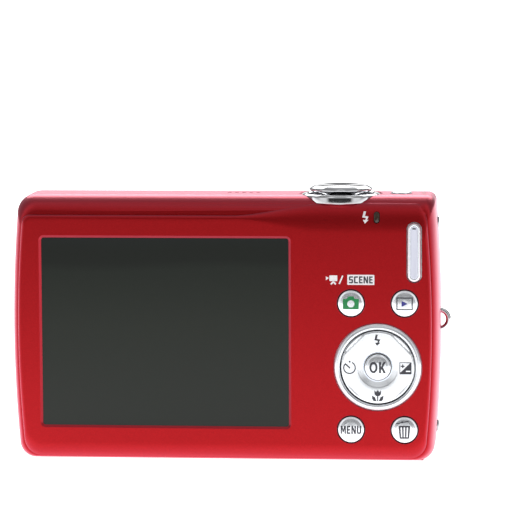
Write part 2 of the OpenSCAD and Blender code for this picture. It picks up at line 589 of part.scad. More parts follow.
module lens_ring() color(chrome) turned(lens_x, lens_z) polygon([
    [13.7, 8.05], [14.85, 8.05], [14.85, 9.05], [lens_ring_r, 9.05], [lens_ring_r, 9.25], [lens_ring_r - 0.4, 9.6],
    [lens_ring_r - 1.2, 9.85], [14.6, 9.75], [13.9, 9.3], [13.7, 9]]);
module barrel_outer() color([0.45, 0.46, 0.48]) turned(lens_x, lens_z) polygon([
    [12.75, -0.6], [13.35, -0.6], [13.35, 9.05], [13.15, 9.25], [12, 9.25], [12, 8.7], [12.75, 8.7]]);
module barrel_inner() color([0.50, 0.51, 0.53]) {
    turned(lens_x, lens_z) polygon([
        [10.9, -0.4], [11.8, -0.4], [11.8, 9.25], [11.65, 9.4], [11.1, 9.4], [11.1, 7.7], [4.7, 7.7], [4.7, 7.1],
        [5.6, 7.1], [5.6, 4.4], [6.3, 4.4], [6.3, 7.1], [10.9, 7.1]]);
    for (s = [-1, 1]) rod_y(lens_x - s * blade_pivot, lens_z + s * 0.6, 0.4, 7.5, 8.4, $fn = 24);
}
module lens_bezel() color(black) turned(lens_x, lens_z) polygon([
    [iris_r, 8.75], [iris_r + 0.5, 9.1], [8, 9.3], [10.4, 9.4], [11.02, 9.4], [11.02, 8.5], [iris_r, 8.5]]);
module front_lens() color(glass) turned(lens_x, lens_z) polygon([
    [0, 6.95], [2, 6.86], [3.6, 6.6], [4.9, 6.1], [5.6, 5.6], [5.6, 4.6], [0, 4.4]]);
// One half of the sliding cover: a half disc with an arm out to its pivot
module cover_blade(side) difference() {
    plate(7.85, 8.35) translate([lens_x, lens_z]) rotate(side > 0 ? 0 : 180) union() {
        intersection() {
            circle(blade_r);
            translate([-blade_r, 0.04]) square([2 * blade_r, blade_r]);
        }
        translate([-blade_pivot, 0.04]) square([blade_pivot - 3, 1.9]);
        translate([-blade_pivot, 0.6]) circle(1.1, $fn = 32);
    }
    rod_y(lens_x - side * blade_pivot, lens_z + side * 0.6, 0.46, 7, 9, $fn = 24);
}
module cover_blade_upper() color([0.10, 0.10, 0.11]) cover_blade(1);
module cover_blade_lower() color([0.10, 0.10, 0.11]) cover_blade(-1);
module shutter_unit() color([0.16, 0.16, 0.17]) difference() {
    rod_y(lens_x, lens_z, 10.8, 1.3, 3.8);
    rod_y(lens_x, lens_z, 3, 1, 4);
    rod_y(lens_x, lens_z, 6, 2.9, 5);
}
module focus_holder() color([0.18, 0.18, 0.19]) difference() {
    union() {
        rod_y(lens_x, lens_z, 5.4, -2.2, -0.8);
        box(lens_x - focus_rod - 1, lens_x + focus_rod + 1, -2.1, -1.1, lens_z - 1, lens_z + 1);
    }
    rod_y(lens_x, lens_z, 4, -3, 0);
    for (s = [-1, 1]) rod_y(lens_x + s * focus_rod, lens_z, 0.45, -3, 0, $fn = 24);
}
module rear_lens() color(glass) turned(lens_x, lens_z) polygon([
    [0, -0.55], [1.6, -0.62], [3, -0.8], [4, -1.1], [4, -1.9], [3, -2.05], [0, -2.15]]);
// Image sensor on its own small board behind the lens
module sensor_board() {
    color([0.12, 0.12, 0.16]) box(lens_x - 4.4, lens_x + 4.4, -3.7, -2.7, lens_z - 3.6, lens_z + 3.6);
    color(board_green) box(lens_x - 9, lens_x + 9, -4.4, -3.7, lens_z - 8, lens_z + 8);
}

module flash_window() color([0.85, 0.88, 0.90]) {
    pad(flash_x, flash_z, 13, 6, 0.7, front_y - 0.9, front_y + 0.05);
    pad(flash_x, flash_z, 14, 7, 0.9, front_y - 1.6, front_y - 0.92);
}
module flash_reflector() color(chrome) difference() {
    pad(flash_x, flash_z, 13, 6.4, 0.8, 3.4, front_y - 1.7);
    hull() {
        pad(flash_x, flash_z, 12, 5.4, 0.4, 7, front_y - 1);
        pad(flash_x, flash_z, 12, 3, 0.4, 4, 4.2);
    }
}
module flash_tube() color([0.80, 0.82, 0.84]) {
    rod_x(5.3, flash_z, 0.9, flash_x - 5, flash_x + 5, $fn = 32);
    for (s = [-1, 1]) rod_x(5.3, flash_z, 0.4, flash_x + s * 5.4 - 0.45, flash_x + s * 5.4 + 0.45, $fn = 24);
}
module flash_capacitor() color([0.12, 0.12, 0.20]) union() {
    rod_x(3.4, 46.9, 3.2, 18, 39.5);
    rod_x(3.4, 46.9, 2.9, 39.5, 40.3);
}
module af_lamp_window() color([0.85, 0.45, 0.30]) turned(af_x, flash_z)
    polygon([[0, front_y + 0.15], [1.2, front_y + 0.1], [1.9, front_y - 0.1], [1.9, front_y - 0.95],
        [2.6, front_y - 0.95], [2.6, front_y - 1.5], [0, front_y - 1.5]]);

module battery() color([0.22, 0.22, 0.24]) difference() {
    hull() for (i = [0, 1], j = [0, 1])
        rod_z(battery_x0 + 1.4 + i * (battery_w - 2.8), battery_y0 + 1.4 + j * (battery_t - 2.8), 1.4,
            battery_z0, battery_z0 + battery_l, $fn = 32);
    for (i = [0:2]) box(30 + 2.6 * i, 31.4 + 2.6 * i, 2.2, 5.2, battery_z0 + battery_l - 0.3, 50);
}
module memory_card() color([0.10, 0.18, 0.42]) plate(-3.45, -1.35) polygon([
    [13.1, 2.3], [37.1, 2.3], [37.1, 31], [34, 34.3], [13.1, 34.3]]);
// Sliding hook that holds the battery in its bay
module battery_latch() color([0.85, 0.45, 0.12]) {
    box(bay_left - 1.4, bay_left + 1, 2.6, 4.6, 1.8, 2.4);
    box(bay_left - 1.4, bay_left - 0.7, 2.6, 4.6, 1.4, 2.4);
}
module battery_door() color(red_paint) difference() {
    union() {
        box(door_x0, door_x1, door_y0, door_axis_y, 0, door_t);
        rod_x(door_axis_y, door_axis_z, 0.7, door_x0 + 0.1, door_x1 - 0.1);
        // Ribs that press on the battery and the card, and the catch tongues at the free edge
        box(door_x0 + 2, door_x1 - 6, 1.6, 2.2, door_t, 2);
        box(door_x1 - 1.6, door_x1 - 0.6, -4.6, -3.8, door_t, 1.9);
        box(door_x0 + 4, door_x0 + 5, -4.6, -3.8, door_t, 1.9);
    }
    rod_x(door_axis_y, door_axis_z, 0.4, door_x0 - 1, door_x1 + 1);
    for (i = [0:4]) box(door_x0 + 1.6 + 0.9 * i, door_x0 + 2.1 + 0.9 * i, -3.4, 1.6, -1, 0.2);
}
module door_hinge_pin() color(chrome) rod_x(door_axis_y, door_axis_z, 0.35, door_x0 - 2.2, door_x1 + 1.1);

front_cover();
rear_cover();
monitor_window();
monitor_panel();
monitor_frame();
selector_bezel();
flash_lamp();
shutter_collar();
power_lamp();
strap_lug();
side_screws();
base_screws();
tripod_socket();
cable_connector();
speaker();
inner_chassis();
card_slot();
battery_contacts();
main_board();
key_board();
key_domes();
top_switches();
lens_base();
lens_ring();
sensor_board();
zoom_motor();
flash_window();
flash_reflector();
flash_tube();
flash_capacitor();
af_lamp_window();
battery();
memory_card();
battery_latch();
barrel_outer();
barrel_inner();
lens_bezel();
front_lens();
cover_blade_upper();
cover_blade_lower();
shutter_unit();
focus_holder();
rear_lens();
cam_ring();
idler_gear();
compound_gear();
motor_pinion();
shutter_button();
shutter_spring();
power_button();
zoom_rocker();
mode_button();
playback_button();
menu_button();
delete_button();
selector_seat();
multi_selector();
ok_button();
battery_door();
door_hinge_pin();
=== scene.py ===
# %% [markdown]
# A compact digital camera, finished piece by piece around its packed mechanical model. The mechanical model
# gives the place and size of everything, so the first step loads it and keeps it as it is. Each later step
# says what a piece or finish is on the real camera, how it could be made, and why it is made so.

# %% Load the frame
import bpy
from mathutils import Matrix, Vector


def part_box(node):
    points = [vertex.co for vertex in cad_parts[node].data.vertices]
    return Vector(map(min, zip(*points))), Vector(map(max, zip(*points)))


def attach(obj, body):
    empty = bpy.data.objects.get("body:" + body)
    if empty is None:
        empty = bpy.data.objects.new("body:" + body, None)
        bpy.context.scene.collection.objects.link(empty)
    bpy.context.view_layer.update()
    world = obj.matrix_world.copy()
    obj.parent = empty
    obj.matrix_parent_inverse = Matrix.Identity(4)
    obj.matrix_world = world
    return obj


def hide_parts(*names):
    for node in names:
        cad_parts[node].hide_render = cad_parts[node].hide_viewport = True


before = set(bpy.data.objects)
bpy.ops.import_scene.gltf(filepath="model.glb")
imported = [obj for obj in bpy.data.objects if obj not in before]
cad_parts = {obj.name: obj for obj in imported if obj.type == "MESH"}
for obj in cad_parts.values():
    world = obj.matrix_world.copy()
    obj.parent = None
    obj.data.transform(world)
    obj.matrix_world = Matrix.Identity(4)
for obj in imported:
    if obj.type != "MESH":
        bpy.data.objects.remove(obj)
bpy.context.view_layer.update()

# %% [markdown]
# Blender works with meshes and vectors, so their libraries come in here, with a tree that finds
# where a ray meets a surface.

# %% Libraries
import math

import bmesh
import bpy
from mathutils import Matrix, Vector
from mathutils.bvhtree import BVHTree

# %% [markdown]
# Sizes are easiest to read in millimetres, while the model is in metres. One factor joins the two, and every
# place below is worked out from the box of a mechanical node.

# %% Measures from the frame
MM = 0.001


def span(name):
    """Lowest and highest corner of a mechanical node, in millimetres."""
    low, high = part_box(name)
    return low / MM, high / MM


def middle(name):
    """Centre of a mechanical node's box, in millimetres."""
    low, high = span(name)
    return (low + high) / 2


front_high = span("front_cover")[1]
rear_low = span("rear_cover")[0]
half_width = front_high.x
height = front_high.z
front = front_high.y
back_face = rear_low.y
print("body, mm:", 2 * half_width, "wide", height, "high, back face at", back_face)

# %% [markdown]
# The camera comes first, because every look is judged through it. It stands a little to the right of the
# back and a little above it, far away with a long lens, so the body keeps its straight edges. The shift
# only slides the picture, as a product photographer slides the film plane.

# %% Camera
distance_mm = 700
azimuth, elevation = math.radians(5.5), math.radians(7)
aim = Vector((0, 0, height / 2))
away = Vector((math.sin(azimuth) * math.cos(elevation), -math.cos(azimuth) * math.cos(elevation),
               math.sin(elevation)))
lens = bpy.data.cameras.new("studio_camera")
lens.lens = 228.5
lens.sensor_width = 36
lens.shift_x, lens.shift_y = 0.0655, 0.119
lens.clip_start, lens.clip_end = 0.01, 50
studio_camera = bpy.data.objects.new("studio_camera", lens)
bpy.context.scene.collection.objects.link(studio_camera)
studio_camera.location = (aim + away * distance_mm) * MM
studio_camera.rotation_euler = away.to_track_quat("Z", "Y").to_euler()
studio_camera.rotation_euler.rotate_axis("Z", math.radians(-0.3))
bpy.context.scene.camera = studio_camera
print("camera at", [round(v, 3) for v in studio_camera.location])

# %% [markdown]
# Colours are written as the hex values that a designer would give, and one function turns them into the
# linear numbers that the renderer works with. A second small function adds a node, sets its properties and
# either sets or links its inputs. The rest are the few nodes that almost every finish uses.

# %% Colour and node helpers
def srgb(code, alpha=1.0):
    """Linear colour from a hex value such as A0B1C2."""
    parts = [int(code[i:i + 2], 16) / 255 for i in (0, 2, 4)]
    linear = [c / 12.92 if c <= 0.04045 else ((c + 0.055) / 1.055) ** 2.4 for c in parts]
    return (*linear, alpha)


def add(tree, kind, inputs=None, **settings):
    """Adds a node. A socket given as an input is linked, and any other value is set."""
    made = tree.nodes.new(kind)
    for name, value in settings.items():
        setattr(made, name, value)
    for name, value in (inputs or {}).items():
        if isinstance(value, bpy.types.NodeSocket):
            tree.links.new(value, made.inputs[name])
        else:
            made.inputs[name].default_value = value
    return made


def per(mm):
    """Texture scale that gives a pattern of about that size."""
    return 1000 / mm


def noise(tree, place, size_mm, detail=2.0):
    """Soft noise whose patches are about that size."""
    inputs = {"Vector": place, "Scale": per(size_mm), "Detail": detail}
    return add(tree, "ShaderNodeTexNoise", inputs).outputs["Fac"]


def maths(tree, operation, first, second=0.0):
    return add(tree, "ShaderNodeMath", {0: first, 1: second}, operation=operation).outputs["Value"]


def spread(tree, value, start, end, low=0.0, high=1.0):
    """Goes from low to high while the value goes from start to end, and stays level beyond them."""
    return add(tree, "ShaderNodeMapRange", {"Value": value, "From Min": start, "From Max": end,
                                            "To Min": low, "To Max": high}).outputs["Result"]


def blend(tree, share, first, second):
    """Two colours mixed: a share of 0 gives the first and 1 the second."""
    return add(tree, "ShaderNodeMix", {0: share, 6: first, 7: second}, data_type="RGBA").outputs[2]


def ramp(tree, value, *stops):
    """Colour picked by a value. A stop is a place from 0 to 1 and a colour, and they come in rising order."""
    made = add(tree, "ShaderNodeValToRGB", {"Fac": value})
    elements = made.color_ramp.elements
    elements[0].position, elements[0].color = stops[0]
    elements[1].position, elements[1].color = stops[-1]
    for position, colour in stops[1:-1]:
        elements.new(position).color = colour
    return made.outputs["Color"]


print("a 1 mm pattern has scale", per(1))

# %% [markdown]
# Most finishes start alike: one colour and a few fixed shader values, then a pattern on Object coordinates
# that varies the colour, the roughness and the height. These helpers make that start and two common patterns:
# a mottle, which shifts colour and roughness a little, and a grain, which gives the surface its bump.

# %% Material helpers
def base_material(name, colour, **values):
    """A principled material with fixed values, its tree, its shader and its Object coordinates."""
    material = bpy.data.materials.new(name)
    material.use_nodes = True
    tree = material.node_tree
    shader = tree.nodes["Principled BSDF"]
    shader.inputs["Base Color"].default_value = srgb(colour)
    for key, value in values.items():
        shader.inputs[key.replace("_", " ")].default_value = value
    material.diffuse_color = srgb(colour)
    return material, tree, shader, add(tree, "ShaderNodeTexCoord").outputs["Object"]


def roughen(tree, shader, pattern, low, high):
    """Lets a pattern move the roughness between two values."""
    tree.links.new(spread(tree, pattern, 0, 1, low, high), shader.inputs["Roughness"])


def mottle(tree, shader, place, colours, size_mm, rough):
    """Soft variation between two colours and two roughness values."""
    pattern = noise(tree, place, size_mm, 4.0)
    tint = ramp(tree, pattern, (0.3, srgb(colours[0])), (0.7, srgb(colours[1])))
    tree.links.new(tint, shader.inputs["Base Color"])
    roughen(tree, shader, pattern, *rough)
    return pattern


def grain(tree, shader, pattern, depth_mm, strength=0.5):
    """Bump of a stated depth from a height pattern."""
    bump = add(tree, "ShaderNodeBump", {"Height": pattern, "Distance": depth_mm * MM, "Strength": strength})
    tree.links.new(bump.outputs["Normal"], shader.inputs["Normal"])


print("a mottled finish varies softly between two colours and two roughness values")

# %% [markdown]
# The covers are pressed aluminium, sprayed with a metallic red and baked under a satin clear coat. Tiny
# aluminium flakes in the paint tilt each their own way, so it sparkles faintly. Where the surface turns away
# from the view its colour is blended towards pale pink, a painted sheen along the edges. The flakes are a
# cell pattern of about 0.12 mm, coarser than the real 0.03 mm so that they still show, and the clear coat
# carries a very fine orange peel.

# %% Red metallic paint
def metallic_paint():
    material, tree, shader, place = base_material(
        "red_metallic_paint", "A8161E", Metallic=0.9, Roughness=0.36)
    flakes = add(tree, "ShaderNodeTexVoronoi", {"Vector": place, "Scale": per(0.12)})
    tint = ramp(tree, flakes.outputs["Color"], (0, srgb("A2151A")), (1, srgb("B81B20")))
    # Painted sheen: the colour turns pale pink where the surface faces away from the view.
    painted_edge_sheen = add(tree, "ShaderNodeLayerWeight", {"Blend": 0.25}).outputs["Facing"]
    tree.links.new(blend(tree, painted_edge_sheen, tint, srgb("E07C98")), shader.inputs["Base Color"])
    orange_peel = noise(tree, place, 0.9)
    grain(tree, shader, maths(tree, "ADD", flakes.outputs["Distance"], orange_peel), 0.004, 0.25)
    return material


red_paint = metallic_paint()
print("made", red_paint.name)

# %% [markdown]
# The keys are injection-moulded ABS with a pearl silver coating: nearly white, slightly blue, with a soft
# gloss. A pearl coat is mica in a clear binder, which is why it is part metallic.

# %% Pearl keys and silver ring
def pearl_plastic(name, dark, light, metallic, rough):
    material, tree, shader, place = base_material(
        name, light, Metallic=metallic, Coat_Weight=0.4, Coat_Roughness=0.12)
    mica = mottle(tree, shader, place, (dark, light), 0.25, rough)
    grain(tree, shader, mica, 0.001, 0.2)
    return material


pearl = pearl_plastic("pearl_abs", "F0F4FA", "F8FBFF", 0.8, (0.18, 0.24))
silver_coat = pearl_plastic("silver_coated_abs", "E2E6EC", "ECEFF4", 0.75, (0.16, 0.22))
lavender_inlay = pearl_plastic("lavender_abs", "DCDEEE", "E6E8F6", 0.2, (0.28, 0.36))
print("made", pearl.name, silver_coat.name, lavender_inlay.name)

# %% [markdown]
# Chrome plate is a mirror, so its look is all reflection. Handling leaves it very slightly uneven, which the
# roughness pattern gives. Turned aluminium keeps the tool's fine rings, drawn at 0.25 mm because the real
# ones, a few hundredths apart, would be too fine to see.

# %% Metals
def plated_metal(name, colour, rough):
    material, tree, shader, place = base_material(name, colour, Metallic=1.0)
    roughen(tree, shader, noise(tree, place, 3, 5.0), *rough)
    grain(tree, shader, noise(tree, place, 0.2), 0.001, 0.15)
    return material


def turned_metal(name, colour, centre, rough):
    """Metal with the rings that a lathe leaves about an axis along Y."""
    ring_mm = 0.25
    material, tree, shader, place = base_material(name, colour, Metallic=1.0, Roughness=rough)
    moved = add(tree, "ShaderNodeMapping", {"Vector": place, "Location": (-centre.x * MM, 0, -centre.z * MM)})
    wave_inputs = {"Vector": moved.outputs["Vector"], "Scale": 0.314 / (ring_mm * MM), "Distortion": 0.4}
    rings = add(tree, "ShaderNodeTexWave", wave_inputs, wave_type="RINGS", rings_direction="Y").outputs["Fac"]
    roughen(tree, shader, rings, rough - 0.06, rough + 0.06)
    grain(tree, shader, rings, 0.006, 0.35)
    return material


lens_centre = middle("lens_ring")
chrome = plated_metal("chrome_plate", "D4D5D8", (0.05, 0.11))
steel = plated_metal("stamped_steel", "B9BBBE", (0.22, 0.38))
gold = plated_metal("gold_plate", "D9B25A", (0.18, 0.30))
bright_ring = turned_metal("turned_bright_aluminium", "C9CBD0", lens_centre, 0.20)
barrel_metal = turned_metal("anodised_grey_aluminium", "7C7E84", lens_centre, 0.32)
print("made", chrome.name, steel.name, gold.name, bright_ring.name, barrel_metal.name)

# %% [markdown]
# Plastics that stay in their moulded colour get the spark-eroded texture of the tool: a fine, even grain.
# One function covers the black, orange and natural mouldings, the rubber, the sleeves and the films.

# %% Moulded plastics, rubber and boards
def moulded(name, dark, light, rough, grain_mm=0.15, depth_mm=0.01, metallic=0.0):
    material, tree, shader, place = base_material(name, light, Metallic=metallic)
    mottle(tree, shader, place, (dark, light), 2.5, (rough - 0.05, rough + 0.05))
    grain(tree, shader, noise(tree, place, grain_mm, 3.0), depth_mm, 0.4)
    return material


black_plastic = moulded("black_polycarbonate", "101012", "18181B", 0.48)
grey_plastic = moulded("glass_filled_nylon", "2A2B2E", "36373B", 0.55)
black_satin = moulded("black_anodised", "0C0C0E", "151518", 0.34, 0.2, 0.004, 0.3)
soft_rubber = moulded("silicone_rubber", "1A1A1C", "242426", 0.7, 0.3, 0.02)
acetal = moulded("natural_acetal", "DAD8CE", "E6E4DC", 0.42)
orange_plastic = moulded("orange_polycarbonate", "C25A14", "D86E20", 0.42)
sleeve = moulded("shrink_sleeve", "16161E", "24242E", 0.30, 0.8, 0.01)
polyimide = moulded("amber_polyimide_film", "A8641C", "BC7A2A", 0.35, 0.5, 0.005)


def circuit_board():
    """Solder mask over copper: the tracks show as a slightly raised and lighter net."""
    material, tree, shader, place = base_material(
        "solder_mask_board", "0E4A2C", Roughness=0.38, Coat_Weight=0.3)
    upright = add(tree, "ShaderNodeMapping", {"Vector": place, "Rotation": (math.radians(90), 0, 0)})
    tracks = add(tree, "ShaderNodeTexBrick", {
        "Vector": upright.outputs["Vector"], "Scale": per(3), "Color1": srgb("0B4127"),
        "Color2": srgb("125A36"), "Mortar": srgb("1C7A4A"), "Mortar Size": 0.03})
    tree.links.new(tracks.outputs["Color"], shader.inputs["Base Color"])
    grain(tree, shader, tracks.outputs["Fac"], 0.02, 0.5)
    return material


board = circuit_board()
print("made", black_plastic.name, board.name, "and seven more mouldings")

# %% [markdown]
# Clear and tinted windows are polished acrylic or glass. The monitor is switched off, so its window shows the
# grey-green of the unlit panel under a smooth sheet. Its colour is painted by height, lighter in the middle
# and darker in a band near its top, as a painted reflection of the room. The lens glass is coated, which
# gives its violet sheen.

# %% Windows and glass
def monitor_finish():
    low, high = span("monitor_window")
    material, tree, shader, place = base_material(
        "clear_sheet_over_unlit_panel", "343A35", Roughness=0.24, Specular_IOR_Level=0.30)
    upward = add(tree, "ShaderNodeSeparateXYZ", {"Vector": place}).outputs["Z"]
    cloud = maths(tree, "MULTIPLY", noise(tree, place, 30, 1.0), 0.05)
    level = maths(tree, "ADD", spread(tree, upward, low.z * MM, high.z * MM), cloud)
    # Painted reflection: by height the colour is lighter in the middle and darker in a band near the top.
    shades = ((0, "1B201B"), (0.55, "20251F"), (0.84, "1E231E"), (0.885, "181C18"), (0.94, "191D19"),
              (1, "1C201E"))
    painted_reflection = ramp(tree, level, *((position, srgb(colour)) for position, colour in shades))
    tree.links.new(painted_reflection, shader.inputs["Base Color"])
    grain(tree, shader, noise(tree, place, 6), 0.004, 0.1)
    return material


def clear_material(name, colour, rough, transmission, ior=1.49, coat=0.0):
    material, tree, shader, place = base_material(
        name, colour, Transmission_Weight=transmission, IOR=ior, Coat_Weight=coat, Coat_Roughness=0.03)
    flow = noise(tree, place, 2)
    roughen(tree, shader, flow, rough, rough + 0.04)
    grain(tree, shader, flow, 0.002, 0.1)
    return material


monitor_glass = monitor_finish()
clear_acrylic = clear_material("clear_acrylic", "F2F5F7", 0.03, 0.9)
amber_acrylic = clear_material("amber_acrylic", "B4542E", 0.08, 0.3, coat=0.5)
smoked_acrylic = clear_material("smoked_acrylic", "3A2C22", 0.12, 0.15, coat=0.4)
green_acrylic = clear_material("green_acrylic", "5FAF5C", 0.10, 0.3)
coated_glass = clear_material("coated_lens_glass", "3A3550", 0.01, 0.55, ior=1.52, coat=1.0)
print("made", monitor_glass.name, clear_acrylic.name, coated_glass.name)

# %% [markdown]
# Symbols are pad-printed ink: an opaque film a few hundredths of a millimetre thick, with slightly soft
# edges and a lower gloss than the plastic under it.

# %% Printing inks
def ink(name, colour, dark):
    material, tree, shader, place = base_material(name, colour)
    film = mottle(tree, shader, place, (dark, colour), 0.6, (0.42, 0.52))
    grain(tree, shader, film, 0.002, 0.3)
    return material


grey_ink = ink("dark_grey_ink", "3C3C44", "34343C")
white_ink = ink("white_ink", "F4F2F4", "E6E2E6")
green_ink = ink("green_ink", "1B8A4C", "167C42")
violet_ink = ink("violet_ink", "3B3C90", "343484")
print("made four inks")

# %% [markdown]
# Every solid below starts as mesh data in millimetres. One helper finishes them all: it merges doubles, turns
# the faces outwards, scales to metres and shades smooth, keeping edges sharper than a stated angle crisp.

# %% Finish a mesh
def finish_mesh(name, mesh_data, material, crease=38):
    bmesh.ops.remove_doubles(mesh_data, verts=mesh_data.verts, dist=1e-4)
    bmesh.ops.dissolve_degenerate(mesh_data, edges=mesh_data.edges, dist=1e-5)
    bmesh.ops.recalc_face_normals(mesh_data, faces=mesh_data.faces)
    bmesh.ops.scale(mesh_data, vec=(MM, MM, MM), verts=mesh_data.verts)
    mesh = bpy.data.meshes.new(name)
    mesh_data.to_mesh(mesh)
    mesh_data.free()
    return finish_object(name, mesh, material, crease)


def finish_object(name, mesh, material, crease=38):
    mesh.materials.clear()
    mesh.materials.append(material)
    mesh.shade_smooth()
    mesh.set_sharp_from_angle(angle=math.radians(crease))
    made = bpy.data.objects.new(name, mesh)
    bpy.context.scene.collection.objects.link(made)
    return made


def place_piece(made, body, slot_name, *nodes):
    """Lets a piece ride on its body and stand for its mechanical nodes, which are hidden. The slot name is
    not used.
    """
    if nodes:
        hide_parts(*nodes)
    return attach(made, body)


def piece(name, mesh_data, material, crease, *placing):
    """Finishes mesh data and places it: placing is its body, its slot and the nodes that it stands for."""
    return place_piece(finish_mesh(name, mesh_data, material, crease), *placing)


print("creases of up to 38 degrees are shaded smooth unless a piece says otherwise")

# %% [markdown]
# Three ways of building cover almost every piece of this camera. A loft joins rings of points, which suits
# the covers. A lathe turns a profile about an axis, for buttons, rings and barrels. A stack is a loft of one
# outline that grows or shrinks with depth, for pads and windows. Real mouldings have no knife edges, so
# profile points may carry a corner radius, and `soften` turns each such corner into a short curve.

# %% Loft, lathe and stack
def soften(points, steps=5, closed=True):
    """Rounds the corners of a profile. A point is (across, depth) or (across, depth, corner radius)."""
    out = []
    for i, point in enumerate(points):
        here = Vector(point[:2])
        ends = not closed and i in (0, len(points) - 1)
        if len(point) < 3 or ends:
            out.append(here)
            continue
        to_before = Vector(points[i - 1][:2]) - here
        to_after = Vector(points[(i + 1) % len(points)][:2]) - here
        half = max(0.05, to_before.angle(to_after) / 2)
        reach = min(point[2] / math.tan(half), 0.48 * to_before.length, 0.48 * to_after.length)
        start, end = here + to_before.normalized() * reach, here + to_after.normalized() * reach
        for k in range(steps + 1):
            t = k / steps
            out.append(start * (1 - t) ** 2 + here * 2 * t * (1 - t) + end * t ** 2)
    return out


def loft(rings, caps=True):
    """Mesh data through rings that all have the same number of points."""
    data = bmesh.new()
    rows = [[data.verts.new(p) for p in ring] for ring in rings]
    count = len(rows[0])
    for low, high in zip(rows, rows[1:]):
        for j in range(count):
            data.faces.new((low[j], low[(j + 1) % count], high[(j + 1) % count], high[j]))
    if caps:
        data.faces.new(rows[0][::-1])
        data.faces.new(rows[-1])
    return data


def lathe(profile, centre, axis="Y", segments=128, lift=None):
    """Turns a closed profile of (radius, place along the axis). lift(radius, angle) may shift a point."""
    cx, cy, cz = centre
    data = bmesh.new()
    rows = []
    turned = soften(profile)
    for radius, along in turned:
        row = []
        for i in range(segments):
            a = 2 * math.pi * i / segments
            h = along + (lift(radius, a) if lift else 0)
            u, v = max(radius, 0) * math.cos(a), max(radius, 0) * math.sin(a)
            place = {"Y": (cx + u, h, cz + v), "Z": (cx + u, cy + v, h), "X": (h, cy + u, cz + v)}[axis]
            row.append(data.verts.new(place))
        rows.append(row)
    for i, here in enumerate(turned):
        after = (i + 1) % len(turned)
        if max(here[0], turned[after][0]) < 1e-6:
            continue
        row, other = rows[i], rows[after]
        for j in range(segments):
            data.faces.new((row[j], row[(j + 1) % segments], other[(j + 1) % segments], other[j]))
    return data


def rod(radius, start, end):
    """Profile of a plain rod for the lathe."""
    return [(0, start), (radius, start), (radius, end), (0, end)]


def round_box(width, tall, radius, steps=10):
    """Outline of a rounded rectangle in x and z, about its centre."""
    radius = min(radius, width / 2 - 1e-3, tall / 2 - 1e-3)
    across, up = width / 2 - radius, tall / 2 - radius
    out = []
    for sx, sz, start in ((1, 1, 0), (-1, 1, 90), (-1, -1, 180), (1, -1, 270)):
        for k in range(steps + 1):
            a = math.radians(start + 90 * k / steps)
            out.append((sx * across + radius * math.cos(a), sz * up + radius * math.sin(a)))
    return out


def stack(profile, width, tall, radius, centre, axis="Y"):
    """A rounded rectangle that grows by the profile's first number at the depth of its second."""
    cx, cy, cz = centre
    rings = []
    for grow, depth in soften(profile, closed=False):
        outline = round_box(width + 2 * grow, tall + 2 * grow, max(0.08, radius + grow))
        if axis == "Y":
            rings.append([(cx + x, depth, cz + z) for x, z in outline])
        elif axis == "Z":
            rings.append([(cx + x, cy + z, depth) for x, z in outline])
        else:
            rings.append([(depth, cy + x, cz + z) for x, z in outline])
    return loft(rings)


def join(target, *others):
    """Adds the meshes of other mesh data to the first."""
    for other in others:
        spare = bpy.data.meshes.new("spare")
        other.to_mesh(spare)
        other.free()
        target.from_mesh(spare)
        bpy.data.meshes.remove(spare)
    return target


print("a rod's profile has", len(rod(1, 0, 1)), "points")

# %% [markdown]
# The body is a lofted shell. Its outline, seen from behind, is a rectangle whose sides bow out by a
# millimetre and whose four corners each have their own radius. The same outline shrinks along a quarter
# circle at the front edge and, much more at the top, along the shoulder at the back. Sampling those quarter
# circles by angle puts the rings where the surface turns fastest.

# %% Body outline
SIDE_BULGE = 1.0
SEAM = -3.0
FRONT_ROUND, FRONT_INSET = 3.0, 2.6
shoulder_end = back_face + 0.9


def arc(cx, cz, radius, start, steps=14):
    return [(cx + radius * math.cos(math.radians(start + 90 * k / steps)),
             cz + radius * math.sin(math.radians(start + 90 * k / steps))) for k in range(steps + 1)]


def bow(x, z0, z1, out, steps=22):
    return [(x + out * 4 * t * (1 - t), z0 + (z1 - z0) * t) for t in (k / steps for k in range(1, steps))]


def body_outline(side, top, bottom, low_r, left_r, right_r):
    x, z0, z1 = half_width - SIDE_BULGE - side, bottom, height - top
    return (bow(x, z0 + low_r, z1 - right_r, SIDE_BULGE) + arc(x - right_r, z1 - right_r, right_r, 0)
            + arc(-x + left_r, z1 - left_r, left_r, 90) + bow(-x, z1 - left_r, z0 + low_r, -SIDE_BULGE)
            + arc(-x + low_r, z0 + low_r, low_r, 180) + arc(x - low_r, z0 + low_r, low_r, 270))


def body_ring(side, top, bottom, y, radii=(3.4, 3.8, 1.8)):
    return [(x, y, z) for x, z in body_outline(side, top, bottom, *radii)]


def body_shell():
    quarter = [math.radians(90 * k / 12) for k in range(13)]
    depth = SEAM - shoulder_end
    rings = [body_ring(FRONT_INSET + 0.5, FRONT_INSET + 0.5, FRONT_INSET + 0.5, front)]
    for a in reversed(quarter):
        inset = FRONT_INSET * (1 - math.cos(a))
        rings.append(body_ring(inset, inset, inset, front - FRONT_ROUND * (1 - math.sin(a))))
    for a in quarter:
        s = 1 - math.cos(a)
        rings.append(body_ring(1.5 * s, 3.9 * s, 0.9 * s, SEAM - depth * math.sin(a)))
    return loft(rings)


print("points in each ring:", len(body_ring(0, 0, 0, SEAM)))

# %% [markdown]
# The raised back panel is the face that carries the monitor and the keys. Its upper edge runs level over the
# monitor, then rises in an S towards the shutter button, and there the face rolls forward much further. One
# smooth step along x drives both: the height of the edge and how deep and tall it rolls.

# %% Raised back panel
PANEL_LOW, PANEL_HIGH = 51.5, 54.1
WAVE_START, WAVE_END = 2.0, 21.0
PANEL_INSET, PANEL_CORNER, PANEL_DEPTH = 1.55, 3.6, 2.5


def roll(fraction):
    """Quarter circle: 0 where the face is flat and 1 at the edge."""
    return 1 - math.sqrt(1 - min(1, max(0, fraction)) ** 2)


def mix(a, b, t):
    return a + (b - a) * t


def wave(x):
    t = max(0, min(1, (x - WAVE_START) / (WAVE_END - WAVE_START)))
    return t * t * (3 - 2 * t)


